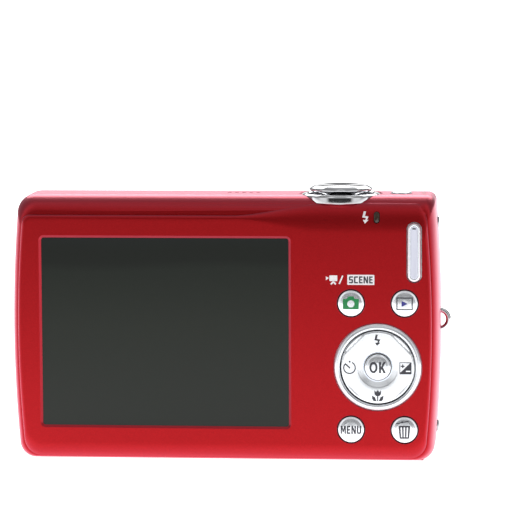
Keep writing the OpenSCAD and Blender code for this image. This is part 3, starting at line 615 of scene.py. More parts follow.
def panel_top(x, y):
    w = wave(x)
    deep, tall = mix(0.6, 2.4, w), mix(0.7, 6, w)
    return mix(PANEL_LOW, PANEL_HIGH, w) - tall * roll((back_face + deep - y) / deep)


def panel_outline(y):
    edge = 0.6 * roll((back_face + 0.6 - y) / 0.6)
    low = 0.35 + 3.4 * roll((back_face + 1.9 - y) / 1.9)
    x, r = half_width - SIDE_BULGE - PANEL_INSET - edge, PANEL_CORNER
    right, left = 2.4, 1.6
    top = [mix(x - right, left - x, i / 70) for i in range(1, 70)]
    return (bow(x, low + r, panel_top(x, y) - right, SIDE_BULGE)
            + arc(x - right, panel_top(x, y) - right, right, 0)
            + [(px, panel_top(px, y)) for px in top]
            + arc(-x + left, panel_top(-x, y) - left, left, 90)
            + bow(-x, panel_top(-x, y) - left, low + r, -SIDE_BULGE)
            + arc(-x + r, low + r, r, 180) + arc(x - r, low + r, r, 270))


def shrunk(outline, inset):
    """Moves every point of a closed outline inwards, square to it."""
    out = []
    for i, (x, z) in enumerate(outline):
        (x0, z0), (x1, z1) = outline[i - 1], outline[(i + 1) % len(outline)]
        run = Vector((x1 - x0, z1 - z0)).normalized()
        out.append((x - run.y * inset, z + run.x * inset))
    return out


def panel_shell():
    depths = [back_face + PANEL_DEPTH * (k / 18) ** 2 for k in range(19)]
    inner = [(x, back_face, z) for x, z in shrunk(panel_outline(back_face), 0.5)]
    return loft([inner] + [[(x, y, z) for x, z in panel_outline(y)] for y in depths])


def inner_space():
    """The hollow inside the covers: as the mechanical model has it, one wall in from the outside."""
    wall = 0.9
    steps = ((front - wall, 3.4, 3.4, 3.4), (front - wall - 0.5, 1.9, 1.9, 1.9),
             (front - wall - 1.5, 1.15, 1.15, 1.15), (front - wall - 3, wall, wall, wall),
             (SEAM, wall, wall, wall), (SEAM - 2, wall + 0.3, wall + 0.6, wall + 0.3),
             (SEAM - 3.5, wall + 0.8, wall + 2.1, wall + 0.9), (SEAM - 4.4, wall + 1.3, wall + 4, wall + 1.9),
             (back_face + 1, wall + 1.7, wall + 5.8, wall + 3.4))
    return loft([body_ring(side, top, bottom, y, (2.4, 2.8, 1.2)) for y, side, top, bottom in steps])


print("panel edge:", PANEL_LOW, "mm over the monitor,", PANEL_HIGH, "mm under the button")

# %% [markdown]
# Openings are cut by boolean, with cutters whose mouths flare a little. That leaves each opening with the
# small bright lip that a pressed and painted sheet has. A plain bevel on the boolean's result would be less
# reliable, because its edges meet at odd angles.

# %% Cut, join and split
def solid(data, name="cutter"):
    return finish_mesh(name, data, steel)


def carve(target, cutter, how="DIFFERENCE"):
    """Cuts or joins two closed meshes, keeps the result as plain mesh and removes the cutter."""
    step = target.modifiers.new("cut", "BOOLEAN")
    step.operation, step.object, step.solver = how, cutter, "EXACT"
    bpy.context.view_layer.update()
    shaped = bpy.data.meshes.new_from_object(target.evaluated_get(bpy.context.evaluated_depsgraph_get()))
    target.modifiers.clear()
    target.data = shaped
    bpy.data.objects.remove(cutter)
    return target


def block(x0, x1, y0, y1, z0, z1):
    ring = ((x0, z0), (x1, z0), (x1, z1), (x0, z1))
    return loft([[(x, y0, z) for x, z in ring], [(x, y1, z) for x, z in ring]])


inside_face = back_face + 1


def flared_hole(spot, radius, end, lip, pocket, segments=96):
    """Cutter for a round hole through the back face, with a wider pocket behind it."""
    profile = [(0, back_face - 1), (radius + lip, back_face - 1), (radius + lip, back_face - 0.005),
               (radius, back_face + lip), (radius, inside_face), (radius + pocket, inside_face),
               (radius + pocket, end), (0, end)]
    return lathe(profile, (spot.x, 0, spot.z), "Y", segments)


def mouth(radius, face, depth, lip):
    """Profile of a round hole that opens upwards or forwards, with a flared lip."""
    return [(0, face - depth), (radius, face - depth), (radius, face - lip), (radius + lip, face + 0.01),
            (radius + lip, face + 1), (0, face + 1)]


print("the back wall's inner side is at", round(inside_face, 2), "mm")

# %% [markdown]
# The hollow and the openings in the top and the base are cut in the whole shell, before it is
# split at the seam. Each is measured from the box of the part that fits there.

# %% Shared openings
shutter = middle("shutter_button")
power = middle("power_button")
collar_low, collar_high = span("shutter_collar")
collar_radius = (collar_high.x - collar_low.x) / 2
recess_floor = height - 1.7
door_low, door_high = span("battery_door")
pin = middle("door_hinge_pin")
PIN_BORE = 0.4
connector = middle("cable_connector")
screw_low, screw_high = span("base_screws")
BASE_SCREWS = [(screw_low.x + 1.25, 3.0), (screw_high.x - 1.25, -4.5), (screw_high.x - 1.25, 4.5)]
SIDE_SCREWS = [(side, z) for side in (-1, 1) for z in (6.5, 49.4)]


def collar_recess():
    wide, brim = collar_radius + 0.1, collar_radius + 0.4
    well = [(0, recess_floor - 2.3), (7.5, recess_floor - 2.3), (7.5, recess_floor), (wide, recess_floor),
            (wide, height - 0.3), (brim, height + 0.02), (brim, height + 4), (0, height + 4)]
    return solid(lathe(well, (shutter.x, shutter.y, 0), "Z", 160))


def base_openings():
    cuts = lathe([(0, -1), (5.55, -1), (5.55, -0.01), (5.3, 0.24), (5.3, 2), (0, 2)], (0, 0, 0), "Z")
    screw_hole = [(0, -1), (1.5, -1), (1.5, -0.01), (1.35, 0.14), (1.35, 0.5), (0.75, 0.5), (0.75, 3), (0, 3)]
    for x, y in BASE_SCREWS:
        join(cuts, lathe(screw_hole, (x, y, 0), "Z", 48))
    return solid(cuts)


def door_opening():
    return solid(block(door_low.x - 1.4, door_high.x + 0.15, door_low.y - 0.15, pin.y + 0.9, -1, 1.5))


print("recess floor at", round(recess_floor, 2), "mm")

# %% [markdown]
# Body and panel are joined, hollowed and then parted at the seam. The two halves are the real camera's rear
# and front covers, and each gets its own openings.

# %% Make the whole shell
shell = carve(solid(body_shell(), "shell"), solid(panel_shell()), "UNION")
carve(shell, solid(inner_space()))
carve(shell, collar_recess())
carve(shell, base_openings())
carve(shell, door_opening())
print("shell faces:", len(shell.data.polygons))

# %% [markdown]
# The rear cover is the shell behind the seam. It has an opening for the monitor window and one for
# each control.

# %% Rear cover
window_low, window_high = span("monitor_window")
window = middle("monitor_window")
window_size = (window_high.x - window_low.x - 1.5, window_high.z - window_low.z - 1.5)
selector = middle("selector_bezel")
KEYS = {name: middle(name + "_button") for name in ("mode", "playback", "menu", "delete")}
KEY_RADIUS = 2.72
rocker = middle("zoom_rocker")
ROCKER_SIZE = (2.7, 12.2)
lamp = middle("flash_lamp")
LAMP_SIZE = (1.1, 2.3)
BEZEL_RADIUS = 9.1


def rear_openings():
    window_steps = [(0.5, back_face - 1), (0.5, back_face - 0.01), (0.02, back_face + 0.45),
                    (0, back_face + 0.47), (0.9, back_face + 0.48), (0.9, back_face + 3)]
    cuts = stack(window_steps, *window_size, 0.55, window)
    join(cuts, flared_hole(selector, BEZEL_RADIUS + 0.05, inside_face + 1, 0.12, 1.0, 160))
    for spot in KEYS.values():
        join(cuts, flared_hole(spot, KEY_RADIUS + 0.22, inside_face + 2, 0.08, 0.6))
    for spot, size, gap in ((rocker, ROCKER_SIZE, 0.22), (lamp, LAMP_SIZE, 0.09)):
        steps = [(gap + 0.08, back_face - 1), (gap + 0.08, back_face - 0.01), (gap, back_face + 0.08),
                 (gap, inside_face), (gap + 0.45, inside_face + 0.02), (gap + 0.45, inside_face + 3)]
        join(cuts, stack(steps, *size, size[0] / 2, spot))
    return solid(cuts)


def half_of(source, name, keep_front):
    """A copy of the shell on one side of the seam."""
    part = bpy.data.objects.new(name, source.data.copy())
    bpy.context.scene.collection.objects.link(part)
    seam_gap = 0.04
    limits = (-60, SEAM + seam_gap) if keep_front else (SEAM - seam_gap, 60)
    return carve(part, solid(block(-60, 60, *limits, -10, 80)))


rear = half_of(shell, "rear_shell", False)
carve(rear, rear_openings())
rear_cover = finish_object("rear_cover_painted", rear.data, red_paint, 32)
bpy.data.objects.remove(rear)
place_piece(rear_cover, "camera_body", "painted_cover", "rear_cover")
print("rear cover faces:", len(rear_cover.data.polygons))

# %% [markdown]
# The front cover is the shell before the seam. It is opened for the lens ring, the flash, the lamps,
# the speaker and the strap lug.

# %% Front cover
ring = middle("lens_ring")
flash = middle("flash_window")
FLASH_SIZE = (13.0, 6.0)
af_lamp = middle("af_lamp_window")
power_lamp = middle("power_lamp")
speaker = middle("speaker")
lug = middle("strap_lug")


def front_openings():
    """Round and square holes in the front face and the top, and the recesses for the side screws."""
    cuts = lathe(rod(15, front - 3, front + 2), (ring.x, 0, ring.z), "Y", 160)
    flash_steps = [(0.1, front - 3), (0.1, front - 0.15), (0.25, front + 0.01), (0.25, front + 1)]
    join(cuts, stack(flash_steps, *FLASH_SIZE, 0.8, flash))
    join(cuts, lathe(mouth(2.1, front, 3, 0.15), (af_lamp.x, 0, af_lamp.z), "Y", 64))
    for i in range(3):
        join(cuts, lathe(mouth(0.4, front, 3, 0.12), (-38 + 1.6 * i, 0, 47.5), "Y", 32))
    top_holes = [(power.x, power.y, 2.35), (power_lamp.x, power_lamp.y, 0.55)]
    top_holes += [(speaker.x + 1.5 * i, 1.0, 0.4) for i in range(-2, 3)]
    for x, y, radius in top_holes:
        join(cuts, lathe(mouth(radius, height, 2, 0.12), (x, y, 0), "Z", 48))
    join(cuts, stack([(0.2, -1), (0.2, -0.01), (0.02, 0.2), (0.02, 2)], 11.6, 4.0, 2.0, connector, "Z"))
    screw_recess = [(0, 40), (0.75, 40), (0.75, 43.5), (1.35, 43.5), (1.35, 46), (0, 46)]
    for side, z in SIDE_SCREWS:
        join(cuts, lathe([(radius, side * x) for radius, x in screw_recess], (0, 1.5, z), "X", 48))
    for side in (-1, 1):
        join(cuts, lathe(rod(0.65, 42, 46), (0, lug.y, lug.z + 2 * side), "X", 32))
    return solid(cuts)


def hinge_lug(x0, x1):
    """A small block inside the base that holds one end of the door's pin."""
    middle_of_lug = ((x0 + x1) / 2, pin.y, 0)
    lug_part = solid(stack([(0, 0.8), (0, 1.75), (-0.15, 1.9)], x1 - x0, 1.8, 0.15, middle_of_lug, "Z"))
    return carve(lug_part, solid(lathe(rod(PIN_BORE, x0 - 1, x1 + 1), (0, pin.y, pin.z), "X", 32)))


front_part = half_of(shell, "front_shell", True)
for ends in ((door_low.x - 3.9, door_low.x - 1.5), (door_high.x + 0.25, door_high.x + 1.5)):
    carve(front_part, hinge_lug(*ends), "UNION")
carve(front_part, front_openings())
front_cover = finish_object("front_cover_painted", front_part.data, red_paint, 32)
bpy.data.objects.remove(front_part)
bpy.data.objects.remove(shell)
place_piece(front_cover, "camera_body", "painted_cover", "front_cover")
print("front cover faces:", len(front_cover.data.polygons))

# %% [markdown]
# The monitor is seen through a flat acrylic sheet that is glued into a pocket behind the cover, half a
# millimetre below its face. A stack with a small chamfer at its front edge is all it needs.

# %% Monitor window
sheet_steps = [(0.6, window_low.y), (0.75, window_low.y + 0.15), (0.75, window_high.y)]
piece("monitor_sheet", stack(sheet_steps, *window_size, 0.6, window), monitor_glass, 25,
      "camera_body", "monitor_glass", "monitor_window")
print("monitor sheet:", [round(v, 1) for v in window_size], "mm")

# %% [markdown]
# The keys are two-shot mouldings: a round pearl cap on a black carrier. The carrier's flange, behind the
# cover, keeps the key in, and its short stem presses the dome. The carrier's black, seen in the gap around
# each cap, also paints the shade in that gap. Each cap is slightly dished. All four come from the same two
# turned profiles.

# %% Round keys
CAP_DEPTH = 0.62


def cap_profile(radius, face):
    """The pearl part, from the middle of its face over the rim."""
    return [(0, face - 0.02), (radius * 0.30, face - 0.01, 1), (radius * 0.62, face + 0.07, 1.5),
            (radius * 0.84, face + 0.24, 0.6), (radius - 0.04, face + 0.46, 0.25), (radius, face + CAP_DEPTH),
            (0, face + CAP_DEPTH)]


def carrier_profile(radius, face, flange_face):
    return [(0, face + CAP_DEPTH), (radius - 0.03, face + CAP_DEPTH), (radius - 0.03, flange_face),
            (radius + 0.6, flange_face), (radius + 0.6, flange_face + 0.4), (1, flange_face + 0.4),
            (1, flange_face + 0.7), (0, flange_face + 0.7)]


key_caps = {}
for name, spot in KEYS.items():
    face = span(name + "_button")[0].y
    place = (spot.x, 0, spot.z)
    cap = lathe(cap_profile(KEY_RADIUS, face), place, "Y", 96)
    key_caps[name] = piece(name + "_key_cap", cap, pearl, 50, name + "_key", "pearl_key", name + "_button")
    # The carrier's black also paints the shade in the gap around the cap.
    carrier = lathe(carrier_profile(KEY_RADIUS, face, inside_face + 0.1), place, "Y", 96)
    piece(name + "_key_carrier", carrier, black_plastic, 38, name + "_key", "black_plastic")
print("made", len(key_caps), "keys")

# %% [markdown]
# The selector is four turned pieces: a fixed ring that slopes outwards, a black sleeve in the gap inside it,
# which paints the shade in that gap, a disc that rocks four ways, and the key in its middle. Between the disc
# and the middle key is a shallow funnel for the fingertip. Near its rim the disc has four scooped flats, at
# the diagonals, which tell the thumb where the four directions are. The lathe's lift function presses those
# flats into the rim.

# %% Selector
OK_RADIUS = 2.68
DISC_RADIUS = 7.6
selector_at = (selector.x, 0, selector.z)


def bezel_profile():
    r, rim, edge = DISC_RADIUS, BEZEL_RADIUS, back_face
    return [(r + 0.34, edge + 1), (r + 0.34, edge + 0.06), (r + 0.24, edge), (r + 0.24, edge - 0.14),
            (r + 0.36, edge - 0.3, 0.12), (r + 0.68, edge - 0.42, 0.3), (rim - 0.35, edge - 0.24, 0.5),
            (rim, edge + 0.12, 0.2), (rim, edge + 1.05), (rim + 0.8, edge + 1.05), (rim + 0.8, edge + 1.4),
            (r + 0.9, edge + 1.4), (r + 0.9, edge + 1)]


def gap_shade_sleeve_profile():
    """A black sleeve with a ledge in the gap around the disc; its black paints the shade in that gap."""
    r, edge = DISC_RADIUS, back_face
    return [(r + 0.25, edge + 0.06), (r + 0.34, edge + 0.08), (r + 0.34, edge + 0.95),
            (r + 0.09, edge + 0.95), (r + 0.09, edge + 0.8), (r + 0.25, edge + 0.8)]


def disc_profile():
    inner, outer, face = OK_RADIUS + 0.17, DISC_RADIUS, back_face - 0.22
    hidden = back_face + 1.5
    flat_rings = [(outer - 0.95 + 0.08 * k, face) for k in range(9)]
    return [(inner, face + 0.75), (inner + 0.25, face + 0.52, 0.3), (inner + 1.35, face + 0.04, 0.7),
            (outer - 2.6, face), *flat_rings, (outer - 0.06, face + 0.1, 0.08), (outer, face + 0.4),
            (outer, hidden), (outer + 0.7, hidden), (outer + 0.7, hidden + 0.3), (outer - 1.2, hidden + 0.3),
            (outer - 1.2, hidden + 0.2), (6, hidden + 0.2), (6, hidden + 0.38), (4.6, hidden + 0.38),
            (4.6, hidden + 0.15), (inner, hidden + 0.15)]


def scoop(radius, angle):
    """A crescent for the nail at each diagonal: down beyond a chord of the rim, and up again outwards."""
    off_diagonal = angle % (math.pi / 2) - math.pi / 4
    beyond = radius * math.cos(off_diagonal) - (DISC_RADIUS - 0.85)
    if beyond < 0 or radius > DISC_RADIUS - 0.2:
        return 0.0
    return min(0.12, 1.2 * beyond) - min(0.06, 0.1 * beyond)


def ok_profile():
    face = span("ok_button")[0].y
    return [(0, face), (1.0, face + 0.02, 1), (1.8, face + 0.10, 1), (2.35, face + 0.26, 0.5),
            (OK_RADIUS, face + 0.55, 0.2), (OK_RADIUS, back_face + 1.8), (0, back_face + 1.8)]


piece("selector_ring", lathe(bezel_profile(), selector_at, "Y", 192), silver_coat, 50,
      "camera_body", "silver_ring", "selector_bezel")
# The black sleeve paints the shade in the gap between the ring and the disc.
piece("selector_gap_shade_sleeve", lathe(gap_shade_sleeve_profile(), selector_at, "Y", 192), black_plastic, 38,
      "camera_body", "black_plastic")
disc = piece("selector_disc", lathe(disc_profile(), selector_at, "Y", 256, scoop), pearl, 40,
             "selector_disc", "pearl_key", "multi_selector")
ok_cap = piece("ok_key_cap", lathe(ok_profile(), selector_at, "Y", 96), pearl, 50,
               "ok_key", "pearl_key", "ok_button")
print("selector:", 2 * BEZEL_RADIUS, "mm across, disc", 2 * DISC_RADIUS, "mm")

# %% [markdown]
# The zoom rocker is one long moulding with a raised rim, a matt inlay in its recess and a flange behind the
# cover. It rocks on a thin rod, and two pips under it press the domes.

# %% Zoom rocker
def rocker_shape():
    top, flange = back_face - 0.5, back_face + 1.45
    rim_steps = [(-0.56, top + 0.2), (-0.54, top + 0.06, 0.05), (-0.40, top, 0.08), (-0.16, top + 0.08, 0.12),
                 (0, top + 0.4, 0.15), (0, flange), (0.4, flange), (0.4, flange + 0.3)]
    rim = stack(rim_steps, *ROCKER_SIZE, ROCKER_SIZE[0] / 2, rocker)
    hinge = lathe(rod(0.2, rocker.x - 2.4, rocker.x + 2.4), (0, back_face + 1.65, rocker.z), "X", 24)
    pips = [lathe(rod(0.6, back_face + 1.7, back_face + 1.9), (rocker.x, 0, rocker.z + 4 * side), "Y", 32)
            for side in (-1, 1)]
    return join(rim, hinge, *pips)


def inlay_shape():
    face = back_face - 0.36
    steps = [(-0.95, face + 0.015), (-0.80, face, 0.05), (-0.62, face + 0.05, 0.04), (-0.58, face + 0.12)]
    return stack(steps, *ROCKER_SIZE, ROCKER_SIZE[0] / 2, rocker)


piece("zoom_rocker_rim", rocker_shape(), pearl, 40, "zoom_lever", "pearl_key", "zoom_rocker")
inlay = piece("zoom_rocker_inlay", inlay_shape(), lavender_inlay, 40, "zoom_lever", "pearl_key")
print("zoom rocker", ROCKER_SIZE, "mm")

# %% [markdown]
# The flash lamp is a smoked light pipe that ends just under the cover's face. It has a wide foot inside, so
# it can only be fitted from behind.

# %% Flash lamp
def lamp_shape():
    near, foot = back_face + 0.35, inside_face + 0.4
    steps = [(-0.2, near - 0.05), (-0.05, near, 0.1), (0, near + 0.2), (0, foot), (0.5, foot),
             (0.5, foot + 0.4)]
    return stack(steps, *LAMP_SIZE, LAMP_SIZE[0] / 2, lamp)


piece("flash_light_pipe", lamp_shape(), smoked_acrylic, 40, "camera_body", "amber_window", "flash_lamp")
print("flash lamp", LAMP_SIZE, "mm")

# %% [markdown]
# The shutter button stands in a chrome collar that fills a round recess across both covers. The button is a
# wide plated cap with a sharp rim under which the finger can feel its edge, and a shallow dished top. Both
# are lathe work about an upright axis.

# %% Shutter button and collar
BUTTON_RADIUS = 6.7
shutter_at = (shutter.x, shutter.y, 0)


def collar_profile():
    top, r, button = height, collar_radius, BUTTON_RADIUS
    return [(2.25, top - 3), (7.3, top - 3), (7.3, recess_floor + 0.05), (r - 0.12, recess_floor + 0.05),
            (r, recess_floor + 0.2, 0.1), (r, top - 0.35, 0.1), (r - 0.22, top - 0.08, 0.12),
            (r - 0.6, top + 0.12, 0.3), (button + 0.55, top + 0.14, 0.1), (button + 0.28, top - 0.05, 0.1),
            (button + 0.25, top - 2.2), (2.25, top - 2.2)]


def button_profile():
    top, r = height, BUTTON_RADIUS
    return [(0, top - 2.9), (2, top - 2.9), (2, top - 0.1), (5.2, top + 0.1, 0.3), (r - 0.4, top + 0.5, 0.5),
            (r - 0.04, top + 0.85, 0.12), (r, top + 1.02, 0.1), (r - 0.3, top + 1.3, 0.3),
            (r - 1.1, top + 1.72, 0.6), (r - 2.2, top + 1.9, 0.8), (r - 3.4, top + 1.76, 1),
            (1.6, top + 1.58, 2), (0, top + 1.56)]


piece("shutter_trim_collar", lathe(collar_profile(), shutter_at, "Z", 192), chrome, 35,
      "camera_body", "chrome_plate", "shutter_collar")
piece("shutter_release_cap", lathe(button_profile(), shutter_at, "Z", 192), chrome, 35,
      "shutter_release", "chrome_plate", "shutter_button")
print("shutter button", 2 * BUTTON_RADIUS, "mm across, top at", round(height + 1.9, 2), "mm")

# %% [markdown]
# The coil spring under the button is a wire on a helix. A short sweep function carries a circle along any
# list of points; it serves the strap lug and the socket's thread too. Its ends are closed, so the wire is a
# solid.

# %% Wire along a path
SPRING_WIRE = 0.16


def sweep(path, radius, sides=16):
    """A round wire through points, with closed ends."""
    path = [Vector(p) for p in path]
    runs = [(path[min(i + 1, len(path) - 1)] - path[max(i - 1, 0)]).normalized() for i in range(len(path))]
    out = runs[0].orthogonal().normalized()
    rings = []
    for point, run in zip(path, runs):
        out = (out - run * out.dot(run)).normalized()
        other = run.cross(out)
        rings.append([point + (out * math.cos(a) + other * math.sin(a)) * radius
                      for a in (2 * math.pi * i / sides for i in range(sides))])
    return loft(rings)


def spring_path(turns=4, steps=32):
    low, high = span("shutter_spring")
    coil = (high.x - low.x) / 2 - SPRING_WIRE
    for i in range(turns * steps + 1):
        a = 2 * math.pi * i / steps
        rise = (high.z - low.z - 2 * SPRING_WIRE) * i / (turns * steps)
        yield shutter.x + coil * math.cos(a), shutter.y + coil * math.sin(a), low.z + SPRING_WIRE + rise


piece("shutter_coil_spring", sweep(spring_path(), SPRING_WIRE, 12), steel, 60,
      "camera_body", "pressed_steel", "shutter_spring")
print("spring wire", 2 * SPRING_WIRE, "mm thick")

# %% [markdown]
# The strap lug is a half ring of wire, whose legs pass through the side wall to a plate inside.

# %% Strap lug
lug_low, lug_high = span("strap_lug")


def lug_shape():
    """A half ring of wire whose two legs pass through the side wall to a plate inside."""
    wire, reach = 0.55, 2.0
    root = lug_high.x - wire - reach
    turn = [(root + reach * math.cos(a), lug.y, lug.z + reach * math.sin(a))
            for a in (math.pi * (k / 24 - 0.5) for k in range(25))]
    inner = lug_low.x + 0.7
    path = [(inner, lug.y, lug.z - reach)] + turn + [(inner, lug.y, lug.z + reach)]
    plate_steps = [(-0.1, lug_low.x), (0, lug_low.x + 0.1), (0, lug_low.x + 0.7), (-0.1, lug_low.x + 0.8)]
    return join(sweep(path, wire, 20), stack(plate_steps, 3.2, 7.2, 0.5, (0, lug.y, lug.z), "X"))


piece("strap_wire_lug", lug_shape(), chrome, 40, "camera_body", "chrome_plate", "strap_lug")
print("strap lug reaches", round(lug_high.x, 2), "mm")

# %% [markdown]
# Beside the shutter button are a small power button with a thumb dish and the green lamp next to it.

# %% Power button and lamp
def power_profile():
    top = height
    return [(0, top - 2.9), (1, top - 2.9), (1, top - 1.5), (2.8, top - 1.5), (2.8, top - 1), (2.2, top - 1),
            (2.2, top + 0.1), (2.1, top + 0.28, 0.1), (1.85, top + 0.35, 0.12), (1.5, top + 0.3, 0.2),
            (0.9, top + 0.2, 0.5), (0, top + 0.18)]


def power_lamp_profile():
    top = height
    return [(0, top - 1.6), (0.45, top - 1.6), (0.45, top - 0.02), (0.4, top + 0.04, 0.05), (0, top + 0.05)]


piece("power_key_cap", lathe(power_profile(), (power.x, power.y, 0), "Z", 96), silver_coat, 40,
      "power_switch", "chrome_plate", "power_button")
piece("power_light_pipe", lathe(power_lamp_profile(), (power_lamp.x, power_lamp.y, 0), "Z", 48),
      green_acrylic, 38, "camera_body", "green_lamp", "power_lamp")
print("power button at", round(power.x, 1), round(power.y, 1))

# %% [markdown]
# The screws are small cross-head ones, the same at both sides and in the base. They repeat, so Geometry Nodes
# make them: one screw is built from primitives and set on points, and each point carries the direction
# that its screw faces. The tree's named inputs are the screw's sizes.

# %% Geometry Nodes helpers
def new_tree(name, sizes):
    """A geometry tree with a geometry input and output and named number inputs."""
    tree = bpy.data.node_groups.new(name, "GeometryNodeTree")
    tree.interface.new_socket("Geometry", in_out="INPUT", socket_type="NodeSocketGeometry")
    for label in sizes:
        kind = "NodeSocketInt" if isinstance(sizes[label], int) else "NodeSocketFloat"
        tree.interface.new_socket(label, in_out="INPUT", socket_type=kind)
    tree.interface.new_socket("Geometry", in_out="OUTPUT", socket_type="NodeSocketGeometry")
    return tree, add(tree, "NodeGroupInput").outputs


def end_tree(tree, geometry, material):
    """Ends a tree in real geometry that wears the material."""
    real = add(tree, "GeometryNodeRealizeInstances", {"Geometry": geometry})
    worn = add(tree, "GeometryNodeSetMaterial", {"Geometry": real.outputs["Geometry"], "Material": material})
    add(tree, "NodeGroupOutput", {"Geometry": worn.outputs["Geometry"]})


def facing(tree):
    """The direction that each start point carries."""
    return add(tree, "GeometryNodeInputNamedAttribute", {"Name": "facing"},
               data_type="FLOAT_VECTOR").outputs["Attribute"]


def start_points(name, places):
    """A mesh of points, each with the direction that it faces."""
    mesh = bpy.data.meshes.new(name)
    mesh.from_pydata([Vector(place) * MM for place, way in places], [], [])
    directions = mesh.attributes.new("facing", "FLOAT_VECTOR", "POINT")
    for item, (place, way) in zip(directions.data, places):
        item.vector = way
    return mesh


def baked(made):
    """The plain mesh of an object with its modifiers carried out. The object itself is removed."""
    bpy.context.view_layer.update()
    mesh = bpy.data.meshes.new_from_object(made.evaluated_get(bpy.context.evaluated_depsgraph_get()))
    bpy.data.objects.remove(made)
    return mesh


def grow(name, start_mesh, tree, sizes):
    """Runs a tree on a mesh with the stated sizes and keeps the result as a plain mesh."""
    grower = bpy.data.objects.new(name + "_start", start_mesh)
    bpy.context.scene.collection.objects.link(grower)
    nodes = grower.modifiers.new("grow", "NODES")
    nodes.node_group = tree
    for item in tree.interface.items_tree:
        if item.in_out == "INPUT" and item.name in sizes:
            nodes[item.identifier] = sizes[item.name]
    return baked(grower)


print("trees end in real geometry, so nothing is lost when the piece is baked")

# %% [markdown]
# All the screws come from one tree: a head on a shank, with a cross cut into the head.

# %% Screws
SCREW = {"Head Radius": 1.25 * MM, "Head Height": 0.45 * MM, "Shank Radius": 0.7 * MM,
         "Shank Length": 1.5 * MM, "Slot Width": 0.34 * MM}


def screw_tree(material):
    tree, size = new_tree("cross_head_screws", SCREW)

    def raised(geometry, z):
        up = add(tree, "ShaderNodeCombineXYZ", {"Z": z}).outputs["Vector"]
        moved = add(tree, "GeometryNodeTransform", {"Geometry": geometry, "Translation": up})
        return moved.outputs["Geometry"]

    half = maths(tree, "MULTIPLY", size["Head Height"], 0.5)
    rim = add(tree, "GeometryNodeMeshCylinder", {
        "Vertices": 48, "Radius": size["Head Radius"], "Depth": half})
    crown = add(tree, "GeometryNodeMeshCone", {
        "Vertices": 48, "Radius Bottom": size["Head Radius"], "Depth": half,
        "Radius Top": maths(tree, "MULTIPLY", size["Head Radius"], 0.78)})
    shank = add(tree, "GeometryNodeMeshCylinder", {
        "Vertices": 32, "Radius": size["Shank Radius"], "Depth": size["Shank Length"]})
    sunk = maths(tree, "MULTIPLY", size["Shank Length"], -0.499)
    body = add(tree, "GeometryNodeMeshBoolean", operation="UNION", solver="EXACT")
    for geometry in (raised(rim.outputs["Mesh"], maths(tree, "MULTIPLY", half, 0.5)),
                     raised(crown.outputs["Mesh"], maths(tree, "MULTIPLY", half, 0.98)),
                     raised(shank.outputs["Mesh"], sunk)):
        tree.links.new(geometry, body.inputs["Mesh 2"])
    slot = maths(tree, "MULTIPLY", size["Head Radius"], 1.3)
    cross = add(tree, "GeometryNodeMeshBoolean", {"Mesh 1": body.outputs["Mesh"]}, operation="DIFFERENCE",
                solver="EXACT")
    for along, over in (("X", "Y"), ("Y", "X")):
        bar_size = add(tree, "ShaderNodeCombineXYZ", {
            along: slot, over: size["Slot Width"], "Z": size["Head Height"]})
        bar = add(tree, "GeometryNodeMeshCube", {"Size": bar_size.outputs["Vector"]})
        tree.links.new(raised(bar.outputs["Mesh"], size["Head Height"]), cross.inputs["Mesh 2"])
    turned = add(tree, "FunctionNodeAlignRotationToVector", {"Vector": facing(tree)}, axis="Z")
    points = add(tree, "GeometryNodeMeshToPoints", {"Mesh": size["Geometry"]})
    placed = add(tree, "GeometryNodeInstanceOnPoints", {
        "Points": points.outputs["Points"], "Instance": cross.outputs["Mesh"],
        "Rotation": turned.outputs["Rotation"]})
    end_tree(tree, placed.outputs["Instances"], material)
    return tree


screws = screw_tree(steel)
side_places = [((side * 43.95, 1.5, z), (side, 0, 0)) for side, z in SIDE_SCREWS]
base_places = [((x, y, 0.51), (0, 0, -1)) for x, y in BASE_SCREWS]
for group, places in (("side_screws", side_places), ("base_screws", base_places)):
    made = finish_object(group + "_set", grow(group, start_points(group, places), screws, SCREW), steel, 30)
    place_piece(made, "camera_body", "pressed_steel", group)
    print(group, len(places), "screws,", len(made.data.polygons), "faces")

# %% [markdown]
# The lens is a set of turned rings around one axis: a bright trim ring on the cover, two barrels that slide
# out of each other, and a black bezel whose fine steps keep stray light away. Each is a lathe profile that
# follows its mechanical node.

